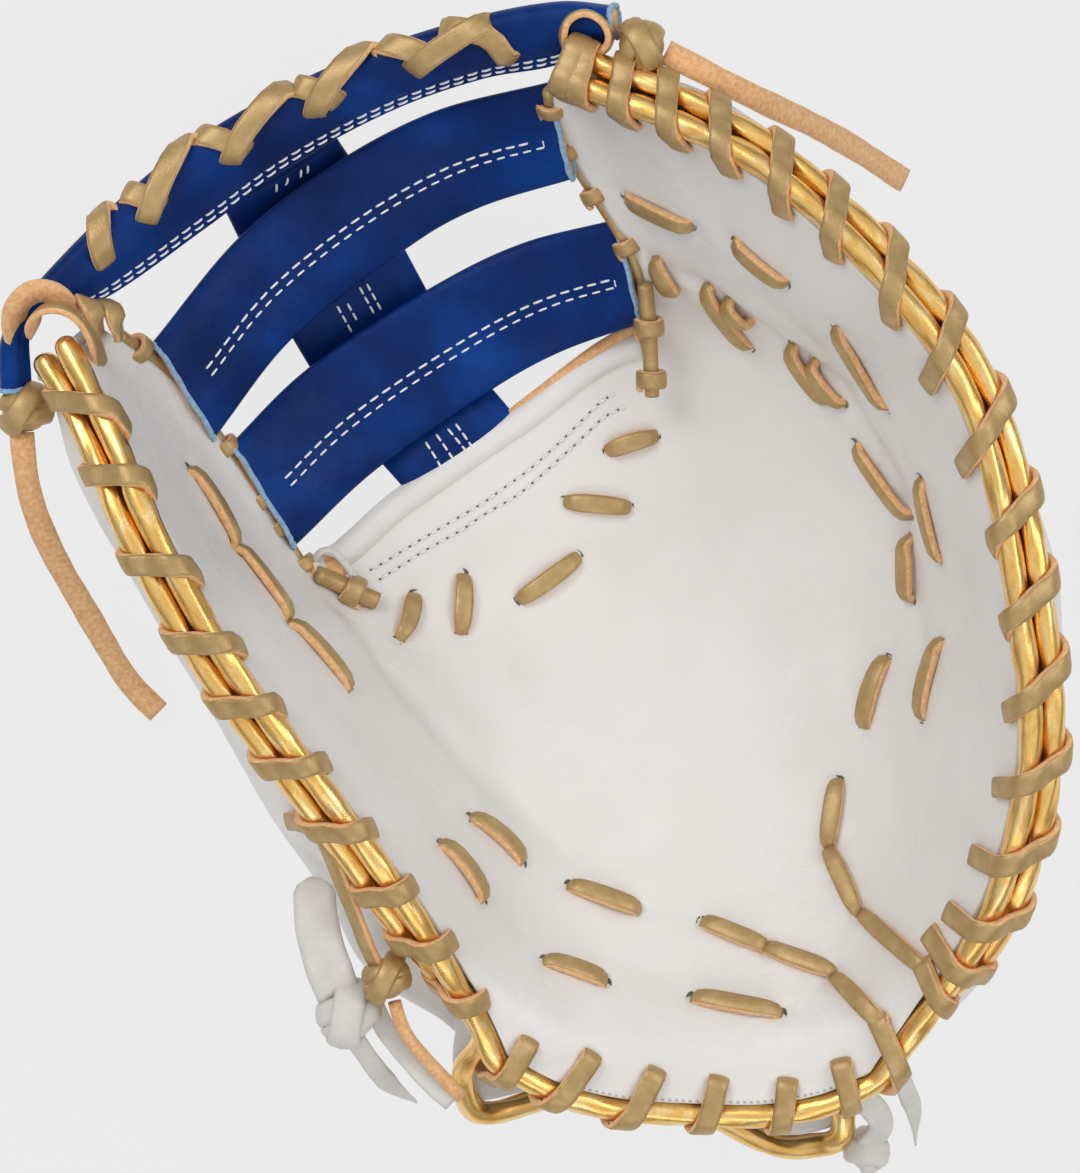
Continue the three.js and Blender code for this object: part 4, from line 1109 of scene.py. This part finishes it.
def wrap_outline(half):
    """Section of a wrap over the rim, from inside the back over the rolls to the palm's side."""
    turn = np.radians(np.linspace(0, 90, 7))
    lift = LACE_LIFT
    start = [[half - 2, -11], [half + 2.2, -9], [half + 4.0, -6], [half + lift - 0.2, -2.5]]
    over = [[half + lift * math.cos(a), lift * math.sin(a)] for a in turn]
    # Between two rolls the lace dips a little
    dip = [[half * 0.5, lift - 0.35], [0, lift - 0.6], [-half * 0.5, lift - 0.35]]
    if half <= 1:
        dip = []
    down = [[-half - lift * math.sin(a), lift * math.cos(a)] for a in turn]
    return np.array(start + over + dip + down)


def wrap_places(wraps, both):
    """Rim places of each wrap's two ends, and its hole in the palm with the way that it faces."""
    centre, to_back, out, half = rim_frame(WRAP_SEARCH, both)
    behind = centre + to_back * (half + LACE_LIFT)[:, None] - out * 3
    starts = WRAP_SEARCH[nearest(pixel(behind), [wrap[0] for wrap in wraps])]
    stations, rows = palm_at([wrap[1] for wrap in wraps])
    holes, outs = palm_face(stations, rows), facing(palm_face, stations, rows)
    rim = along(PALM_RIM, WRAP_SEARCH)
    ends = [WRAP_SEARCH[np.argmin(np.linalg.norm(rim - hole, axis=1))] for hole in holes]
    return list(zip(starts, ends, holes, outs))


def rim_lace_paths(wraps, both):
    """Points and outward directions of each wrap of a lace."""
    paths = []
    for start, end, hole, hole_out in wrap_places(wraps, both):
        half = float(rim_frame(np.array([(start + end) / 2]), both)[3][0])
        outline = wrap_outline(half)
        steps = distances(outline)
        # The first 8 mm run straight up behind the back; only then does the wrap slant
        share = np.clip((steps - 8) / (steps[-1] + WRAP_LEG - 8), 0, 1)
        centre, to_back, out, _ = rim_frame(start + (end - start) * share, both)
        over = centre + to_back * outline[:, :1] + out * outline[:, 1:]
        slope = np.gradient(outline, axis=0)
        over_out = unit(to_back * slope[:, 1:] - out * slope[:, :1])
        mouth = hole + hole_out * 1.3
        leg_share = np.array([0.3, 0.6, 0.85, 1.0])[:, None]
        leg = over[-1] * (1 - leg_share) + mouth * leg_share
        ahead = unit(mouth - over[-1])
        # The last bit goes down through the hole
        dive = [mouth + ahead * 1.2 - hole_out * 1.4, mouth + ahead * 1.4 - hole_out * 5]
        leg_out = unit(over_out[-1] * (1 - leg_share) + hole_out * leg_share)
        dive_out = [unit(hole_out + ahead * 0.9), ahead]
        paths.append((np.vstack([over, leg, dive]), np.vstack([over_out, leg_out, dive_out])))
    return paths


def make_rim_lace(name, wraps, both, seed):
    """One stretch of the rim's lace, a skin for each wrap."""
    mesh = bmesh.new()
    for k, (points, outs) in enumerate(rim_lace_paths(wraps, both)):
        add_skin(mesh, lace_rings(points, outs, seed=seed + k), LACE_SLOTS)
    piece(name + "_wraps", mesh, *TAN_LACE, [name])


def wrap_spots(centres, groups):
    """Points of a roll's middle where laces are wound round it."""
    return [
        along(centres, (start + end) / 2)
        for wraps, both in groups
        for start, end, _, _ in wrap_places(wraps, both)
    ]


# The wraps of each stretch of lace, and whether they go over both rolls
WRAP_GROUPS = [(THUMB_WRAPS, True), (HEEL_WRAPS, False), (FINGER_WRAPS, True)]
for name, node, centres, groups, seed in (
    ("palm_roll", "palm_binding", PALM_RIM, WRAP_GROUPS, 3),
    ("back_roll", "back_binding", BACK_RIM, WRAP_GROUPS[::2], 8),
):
    roll = make_roll(centres, wrap_spots(centres, groups), seed)
    piece(name, roll, [gold_foil], "gold_foil", [node])
for part, group, seed in zip(("thumb", "heel", "finger"), WRAP_GROUPS, (0.3, 1.7, 2.9)):
    make_rim_lace("rim_lace_" + part, *group, seed)


# Lace stitches on the palm

def add_palm_stitch(mesh, start, end, seed):
    """A flat lace that comes up through one hole of the palm and goes down through another."""
    stations, rows = palm_at([start, end])
    s = stations[0] + (stations[1] - stations[0]) * STITCH_SHARE
    r = rows[0] + (rows[1] - rows[0]) * STITCH_SHARE
    outs = facing(palm_face, s, r)
    points = palm_face(s, r) + outs * STITCH_HEIGHT[:, None]
    rings = lace_rings(points, outs, STITCH_LACE_WIDTH, STITCH_LACE_THICKNESS, seed, STITCH_TAPER)
    add_skin(mesh, rings, LACE_SLOTS)


def make_palm_stitches(name, stitches, replaces=()):
    mesh = bmesh.new()
    for k, (start, end) in enumerate(stitches):
        add_palm_stitch(mesh, start, end, 0.7 * k)
    piece(name, mesh, *TAN_LACE, replaces)


make_palm_stitches("thumb_stitches", THUMB_STITCHES, ["web_thumb_lace"])
make_palm_stitches("finger_stitches", FINGER_STITCHES, ["web_finger_lace"])
make_palm_stitches("palm_stitches", PALM_STITCHES)


# Web

def band_point(band, t, angle):
    """A padded band's surface, by place along it and angle round it, with its outward direction."""
    sections, thickness, relief = band
    sections = np.asarray(sections, float) * SIZE
    t, angle = np.broadcast_arrays(np.asarray(t, float), np.asarray(angle, float))
    upper, lower = along(sections[:, 0], t), along(sections[:, 1], t)
    half = (upper - lower) / 2
    last = len(sections) - 1
    ahead = along(sections, np.minimum(t + 0.1, last)) - along(sections, np.maximum(t - 0.1, 0))
    out = unit(np.cross(unit(ahead.mean(-2)), half))
    # A flattened oval: its sides are blunt and its faces nearly level
    wide = np.sign(np.cos(angle)) * np.abs(np.cos(angle)) ** BAND_WIDE_POWER
    high = np.sign(np.sin(angle)) * np.abs(np.sin(angle)) ** BAND_HIGH_POWER
    high = high * relief(wide, high, t)
    point = (upper + lower) / 2 + half * wide[..., None] + out * (high * thickness / 2)[..., None]
    aside = half * (wide / np.linalg.norm(half, axis=-1))[..., None]
    return point, unit(aside * 0.6 + out * high[..., None])


def band_angle(wide):
    """Angle round the front of a band at a height across it."""
    return np.arccos(np.copysign(np.abs(wide) ** (1 / BAND_WIDE_POWER), wide))


def straight_on(band, t, angle, share):
    """Points of a band on the way from one place to another, with their outward directions."""
    return band_point(band, t[0] + (t[1] - t[0]) * share, angle[0] + (angle[1] - angle[0]) * share)


def seam_relief(seam):
    """Height share of a padded band: a groove where its seam holds it down, and puckers there."""
    def relief(wide, high, t):
        groove = np.exp(-((wide - seam) / 0.13) ** 2)
        pucker = 0.04 * np.sin(t * 23) * np.exp(-((wide - seam) / 0.4) ** 2)
        sway = 0.05 * np.sin(t * 3.1) + 0.04 * np.sin(t * 5.3 + wide)
        return np.where(high > 0, 1.05 - 0.45 * groove + pucker + sway, 1)
    return relief


def flange_relief(wide, high, t):
    """Height share of the top bar: a full roll along its upper edge and a thin flange below."""
    return 0.3 + 0.75 * eased((wide + 0.75) / 0.6)


TOP_BAND = (TOP_BAR, TOP_THICKNESS, flange_relief)
UPPER_BAND = (UPPER_BAR, BAR_THICKNESS, seam_relief(-0.09))
LOWER_BAND = (LOWER_BAR, BAR_THICKNESS, seam_relief(-0.09))
# The post has no seam, so its groove lies far outside it
POST_BAND = (POST, POST_THICKNESS, seam_relief(-3))


def band_grid(band):
    """Rings of points round a band, with two close together at each end."""
    last = len(band[0]) - 1
    t = np.linspace(0, last, BAND_STEPS * last + 1)
    t = np.r_[t[0], t[0] + BAND_END, t[1:-1], t[-1] - BAND_END, t[-1]]
    return band_point(band, t[:, None], round_angles(BAND_SIDES)[None])[0]


def band_at(band, spots):
    """Places on the front of a band that show at the spots."""
    t, angle = (
        grid.ravel() for grid in np.meshgrid(
            np.linspace(0, len(band[0]) - 1, 401), np.radians(np.linspace(-15, 195, 106))
        )
    )
    found = nearest(pixel(band_point(band, t, angle)[0]), spots)
    return t[found], angle[found]


def add_sewing(mesh, points, outs, pitch=SEWING_PITCH, length=SEWING_LENGTH, radius=THREAD_RADIUS,
               first=None):
    """A row of sewn stitches along points of a surface, with the place of the first one."""
    both = spread(np.hstack([points, outs]), 0.4)
    points, outs = both[:, :3], unit(both[:, 3:])
    run = tangents(points)
    steps = distances(points)
    angle = round_angles(6)
    # A stitch comes out thin, lies over the leather and goes in again
    lift = np.array([-0.5, 0.15, 0.35, 0.15, -0.5]) * radius
    size = np.array([0.45, 0.95, 1, 0.95, 0.45]) * radius
    for start in np.arange(pitch / 2 if first is None else first, steps[-1] - length, pitch):
        at = start + length * np.array([0, 0.12, 0.5, 0.88, 1])
        place = np.stack([np.interp(at, steps, points[:, k]) for k in range(3)], -1)
        k = np.searchsorted(steps, start)
        out = np.tile(outs[k], (5, 1))
        side = np.tile(np.cross(run[k], outs[k]), (5, 1))
        add_skin(mesh, rings_round(place + out * lift[:, None], side, out, angle,
                                   size[:, None, None]))


def make_band(name, band, node, raw_ends=True):
    """A padded band, with the frayed pale rim of its cut ends."""
    mesh = bmesh.new()
    add_skin(mesh, band_grid(band), cap_slot=2 if raw_ends else 0)
    rng = np.random.default_rng(len(name))
    angle = np.linspace(0, 2 * math.pi, BAND_RIM_POINTS)
    # A rim's faces: its sides, and a cap at each end
    rim_faces = (BAND_RIM_POINTS - 1) * BAND_RIM_SIDES + 2
    for t in (0, len(band[0]) - 1) if raw_ends else ():
        rim = band_point(band, np.full(BAND_RIM_POINTS, float(t)), angle)[0]
        add_cordlike(mesh, rim + rng.uniform(-0.25, 0.25, rim.shape), 0.75, BAND_RIM_SIDES)
        for face in mesh.faces[-rim_faces:]:
            face.material_index = 1
    piece(name, mesh, [blue_hide, raw_blue, lace_flesh], "blue_leather", [node])


def make_band_sewing(name, band, rows):
    """A band's two sewn rows, and the close stitches that join them at their end."""
    mesh = bmesh.new()
    for wide, start, end in rows:
        points, outs = band_point(band, np.linspace(start, end, 60), band_angle(wide))
        add_sewing(mesh, points + outs * 0.2, outs)
    (upper, _, end), (lower, _, _) = rows
    wide = np.linspace(upper, lower, 8)
    points, outs = band_point(band, np.full(8, end + 0.02), band_angle(wide))
    length = np.linalg.norm(points[-1] - points[0]) - 0.8
    add_sewing(mesh, points + outs * 0.3, outs, 0.6, length)
    piece(name, mesh, *BLUE_SEWING)


def make_post_sewing():
    """The stitches that hold the bars to the post."""
    mesh = bmesh.new()
    for row in POST_SEWING:
        points, outs = straight_on(POST_BAND, *band_at(POST_BAND, row), np.linspace(0, 1, 12))
        add_sewing(mesh, points + outs * 0.2, outs, POST_PITCH, POST_STITCH)
    piece("post_sewing", mesh, *BLUE_SEWING)


make_band("top_bar", TOP_BAND, "web_top_bar")
make_band("upper_bar", UPPER_BAND, "web_upper_bar")
make_band("lower_bar", LOWER_BAND, "web_lower_bar")
make_band("post", POST_BAND, "web_post", raw_ends=False)
make_band_sewing("top_bar_sewing", TOP_BAND, TOP_ROWS)
make_band_sewing("upper_bar_sewing", UPPER_BAND, BAR_ROWS)
make_band_sewing("lower_bar_sewing", LOWER_BAND, BAR_ROWS)
make_post_sewing()


def make_top_lace():
    """The lace wound round the top bar, as strands that lie over it in turn."""
    mesh = bmesh.new()
    for k, strand in enumerate(TOP_STRANDS):
        lift = np.where(STRAND_LIFT > 0, STRAND_LIFT * STRAND_LEVELS[k % 2], STRAND_LIFT)
        points, outs = straight_on(TOP_BAND, *band_at(TOP_BAND, strand), STRAND_SHARE)
        rings = lace_rings(points + outs * lift[:, None], outs, TOP_LACE_WIDTH, seed=k)
        add_skin(mesh, rings, LACE_SLOTS)
    piece("top_bar_lace", mesh, *TAN_LACE, ["web_top_lace"])


make_top_lace()


# Lip of the pocket and its sewing

def make_lip():
    """The rolled upper edge of the pocket, open at its thumb end."""
    stations = np.linspace(WEB_FROM, WEB_TO, 90)
    rows = np.full_like(stations, LIP_ROW)
    points = palm_layer(stations, rows, -PALM_WALL / 2)
    outs = facing(palm_face, stations, rows)
    side = np.cross(tangents(points), outs)
    rings = rings_round(points, side, outs, round_angles(LIP_SIDES), LIP_RADIUS)
    mesh = bmesh.new()
    add_skin(mesh, rings, cap_slot=1)
    piece("lip_roll", mesh, [white_hide, lace_flesh], "white_leather")


def make_lip_sewing():
    """The palm's sewn rows along its lip, with a dot of painted shade where each stitch goes in."""
    mesh = bmesh.new()
    lines = []
    for row in LIP_ROWS:
        places = smoothed(np.stack(palm_at(spread(row, 6)), -1), 6)
        outs = facing(palm_face, places[:, 0], places[:, 1])
        lines.append((palm_face(places[:, 0], places[:, 1]) + outs * 0.25, outs))
    for points, outs in lines:
        add_sewing(mesh, points, outs, LIP_PITCH, LIP_STITCH, LIP_THREAD_RADIUS)
    stitches = len(mesh.faces)
    # A dot of painted shade at each needle hole, where the thread goes in
    for points, outs in lines:
        add_sewing(mesh, points, outs, LIP_PITCH, LIP_DOT, FINE_THREAD_RADIUS, first=0.55)
    mesh.faces.ensure_lookup_table()
    for face in mesh.faces[stitches:]:
        face.material_index = 1
    piece("lip_sewing", mesh, [white_thread, hole_shade_paint], "white_leather")


def make_heel_sewing():
    """The small stitches that hold the palm's leather to the heel roll."""
    stations = np.linspace(0.9, 5.6, 160)
    rows = np.full_like(stations, 0.05)
    outs = facing(palm_face, stations, rows)
    mesh = bmesh.new()
    points = palm_face(stations, rows) + outs * 0.3
    add_sewing(mesh, points, outs, HEEL_PITCH, HEEL_STITCH, FINE_THREAD_RADIUS)
    piece("heel_sewing", mesh, [tan_thread], "gold_foil")


make_lip()
make_lip_sewing()
make_heel_sewing()


# Laces round the web's opening

def make_edge_lace(name, station, wraps):
    """A rolled lace along the leather's edge at the web, with small turns round it."""
    rows = np.linspace(*EDGE_LACE_ROWS, 90)
    stations = np.full_like(rows, float(station))
    inward = 0.12 if station == WEB_FROM else -0.12
    edge = palm_layer(stations, rows, -PALM_WALL / 2)
    out = unit(edge - palm_layer(stations - inward, rows, -PALM_WALL / 2))
    points = smoothed(edge + out * 1.6, 4)
    mesh = bmesh.new()
    add_cordlike(mesh, points, 2.1)
    run = tangents(points)
    for k in nearest(pixel(points), wraps):
        add_wrap_round(mesh, points[k], run[k], 3.6, 4.6, seed=k)
    piece(name, mesh, *TAN_LACE)


def make_strands(name, strands, finish=TAN_LACE):
    """Strands of lace that lie loose, as one piece."""
    mesh = bmesh.new()
    for strand in strands:
        add_strand(mesh, *strand)
    piece(name, mesh, *finish)


def make_lip_laces():
    """The laces at the two ends of the lip, each rolled up and with turns round it."""
    mesh = bmesh.new()
    stations, rows = palm_at(LIP_LEFT_LACE)
    left = palm_face(stations, rows) + facing(palm_face, stations, rows) * 2.4
    left = smoothed(curve(left, 1), 4)
    add_cordlike(mesh, left, 2.6)
    k = nearest(pixel(left), LIP_LEFT_WRAP)[0]
    add_wrap_round(mesh, left[k], left[k + 1] - left[k - 1], 3.9, 5.6)
    add_strand(mesh, LIP_LEFT_INSIDE, INSIDE_LACE_WIDTH, (0, 0, -1))
    right = curve(spot_at(LIP_RIGHT_LACE), 1)
    add_cordlike(mesh, right, 2.3)
    for k in nearest(pixel(right), LIP_RIGHT_WRAPS):
        add_wrap_round(mesh, right[k], right[k] - right[k - 3], 3.7, 5.2, seed=k)
    piece("lip_laces", mesh, *TAN_LACE)


def make_lip_rim():
    """The raw grey rim of the rolled lip, where it lies open at the thumb."""
    mesh = bmesh.new()
    add_cordlike(mesh, curve(spot_at(LIP_LEFT_RIM), 1), 1.1, 8)
    piece("lip_rim", mesh, [raw_white], "white_leather")


make_strands("thumb_side_lace", [(THUMB_SIDE_LACE, SIDE_LACE_WIDTH, (-0.8, -0.3, 0.75))])
make_strands("wrist_straps", [
    (SECOND_STRAP, WRIST_LACE_WIDTH), (WRIST_END_LOOP, WRIST_LOOP_WIDTH, (0.3, -0.2, 0.9)),
], WHITE_LACE)
make_edge_lace("thumb_edge_lace", WEB_FROM, THUMB_EDGE_WRAPS)
make_edge_lace("finger_edge_lace", WEB_TO, FINGER_EDGE_WRAPS)
make_strands("thumb_tip_lace", TIP_STRANDS)
make_strands("finger_tip_lace", FINGER_TIP_STRANDS)
make_lip_laces()
make_lip_rim()


# Wrist lining

def make_lining():
    """Sheepskin pile on the inside of the wrist, with its tufts."""
    stations, rows = np.meshgrid(np.linspace(1.5, 4.5, 60), np.linspace(0.35, 1, 20))
    rng = np.random.default_rng(5)
    ruffle = rng.uniform(-0.7, 0.7, stations.shape)
    outs = facing(back_face, stations, rows)
    base = back_face(stations, rows)
    front = base + outs * (BACK_WALL + PILE_HEIGHT + ruffle)[..., None]
    mesh = bmesh.new()
    add_skin(mesh, front, closed=False)
    angle = round_angles(3)
    for _ in range(TUFTS):
        i, j = rng.integers(0, stations.shape[0]), rng.integers(0, stations.shape[1])
        lean = unit(outs[i, j] + rng.uniform(-0.5, 0.5, 3))
        side = unit(np.cross(lean, [0.3, 1, 0.2]))
        other = np.cross(lean, side)
        tip = rng.uniform(1.5, 3.2)
        rings = [
            front[i, j] + lean * tip * share + radius * (
                np.cos(angle)[:, None] * side + np.sin(angle)[:, None] * other
            ) for share, radius in ((0, 0.55), (0.6, 0.4), (1, 0.1))
        ]
        add_skin(mesh, rings)
    piece("wrist_pile", mesh, [fur], "pile", ["wrist_lining"])


make_lining()


# Walls that close the leather round the web, and the punched holes with their painted shade

def opening_line(count):
    """Stations and rows round the web's opening: thumb tip, lip, finger tip."""
    down = np.linspace(LAST_ROW, LIP_ROW, count)
    over = np.linspace(WEB_FROM, WEB_TO, count)
    stations = np.r_[np.full(count, float(WEB_FROM)), over[1:-1], np.full(count, float(WEB_TO))]
    rows = np.r_[down, np.full(count - 2, float(LIP_ROW)), down[::-1]]
    return stations, rows


def make_opening_wall():
    """The wall between palm and back along the web's opening, a little bulged."""
    stations, rows = opening_line(60)
    palm, back = palm_layer(stations, rows, -0.6), back_layer(stations, rows, 0.6)
    out = unit(np.cross(tangents(palm), palm - back))
    share = np.linspace(0, 1, 7)
    bulge = np.sin(share * math.pi) * 0.9
    points = palm[:, None] + (back - palm)[:, None] * share[None, :, None]
    points = points + out[:, None] * bulge[None, :, None]
    mesh = bmesh.new()
    add_skin(mesh, points, closed=False)
    piece("opening_wall", mesh, [raw_white], "white_leather")


def add_hole(mesh, centre, outs, run):
    """A punched hole: a small oval of painted shade that sinks at its middle."""
    run = unit(run - (run * outs).sum() * outs)
    side = np.cross(outs, run)
    oval = bmesh.ops.create_circle(mesh, cap_ends=True, cap_tris=True, segments=14, radius=1)
    for vert in oval["verts"]:
        spot = centre + run * vert.co.x * HOLE_LONG + side * vert.co.y * HOLE_WIDE
        vert.co = (spot - outs * HOLE_DEPTH * (1 - vert.co.to_2d().length)) * MM


def make_holes():
    """A punched hole, an oval of painted shade, wherever a lace goes into the palm."""
    mesh = bmesh.new()
    # Each end of a lace, with the pixel that the lace comes from
    ends = []
    for start, end in THUMB_STITCHES + FINGER_STITCHES + PALM_STITCHES:
        ends += [(start, end), (end, start)]
    for back_end, palm_end in THUMB_WRAPS + HEEL_WRAPS + FINGER_WRAPS:
        ends.append((palm_end, back_end))
    spots = np.array([end[0] for end in ends], float)
    toward = unit(spots - np.array([end[1] for end in ends], float))
    stations, rows = palm_at(spots + toward * HOLE_SHIFT)
    face = palm_face(stations, rows)
    outs = facing(palm_face, stations, rows)
    lift = palm_relief(face) + HOLE_LIFT
    for k in range(len(ends)):
        run = np.array([toward[k, 0], -toward[k, 1], 0])
        add_hole(mesh, face[k] + outs[k] * lift[k], outs[k], run)
    # The holes' dark colour is painted shade
    piece("hole_shade_ovals", mesh, [hole_shade_paint], "white_leather")


make_opening_wall()
make_holes()


# Floor and light

# The photo's backdrop is a plain tone without shadows, so the floor mostly glows
FLOOR_GLOW = 0.95
FLOOR_HALF = 3
FLOOR_DROP = 0.2 * MM


def make_floor():
    """Pale matt paper."""
    material, tree = start_material("pale_paper")
    where = add_node(tree, "ShaderNodeTexCoord").outputs["Object"]
    tone = add_node(tree, "ShaderNodeTexNoise", {
        "Vector": where, "Scale": 1 / (300 * MM), "Detail": 1, "Roughness": 0.55,
    })
    shades = add_node(tree, "ShaderNodeValToRGB", {"Fac": tone.outputs["Fac"]}, stops=[
        (0.3, "EAEAEA"), (0.7, "EBEBEB"),
    ])
    add_shader(tree, {
        "Base Color": hex_colour("404040"), "Emission Color": shades.outputs["Color"],
        "Emission Strength": FLOOR_GLOW, "Roughness": 0.9, "Specular IOR Level": 0,
    })
    mesh = bmesh.new()
    bmesh.ops.create_grid(mesh, x_segments=4, y_segments=4, size=FLOOR_HALF)
    bmesh.ops.translate(mesh, verts=mesh.verts, vec=(0, 0, -FLOOR_DROP))
    floor = add_mesh("floor", mesh, [material])


def add_softbox(name, place, size, power):
    """A flat lamp that looks at the mitt from its place in metres."""
    data = bpy.data.lights.new(name, "AREA")
    data.shape = "RECTANGLE"
    data.size, data.size_y = size
    data.energy = power
    lamp = add_object(name, data)
    lamp.location = place
    aim = -np.array(place, float)
    pitch = math.acos(-aim[2] / np.linalg.norm(aim))
    turn = math.atan2(-aim[0], aim[1])
    lamp.rotation_euler = (pitch, 0, turn)


def make_light():
    """Studio walls all round, and three softboxes."""
    world = bpy.data.worlds.new("studio")
    world.use_nodes = True
    tree = world.node_tree
    way = add_node(tree, "ShaderNodeTexCoord").outputs["Generated"]
    height = add_node(tree, "ShaderNodeSeparateXYZ", {"Vector": way}).outputs["Z"]
    # A dark horizon and a bright ceiling, as between the walls of a studio
    sky = add_node(tree, "ShaderNodeValToRGB", {"Fac": height}, stops=[
        (0.05, "83817F"), (0.45, "D6D6D8"), (0.8, "FFFFFF"),
    ])
    tree.links.new(sky.outputs["Color"], tree.nodes["Background"].inputs["Color"])
    tree.nodes["Background"].inputs["Strength"].default_value = 0.8
    bpy.context.scene.world = world
    add_softbox("key", (-1.0, 1.0, 1.7), (0.9, 0.9), 11)
    add_softbox("fill", (1.3, 0.2, 1.4), (1.2, 0.6), 6)
    add_softbox("front", (0.1, -1.5, 1.2), (1.2, 0.5), 3)


make_floor()
make_light()
bpy.context.scene.view_settings.view_transform = "Standard"
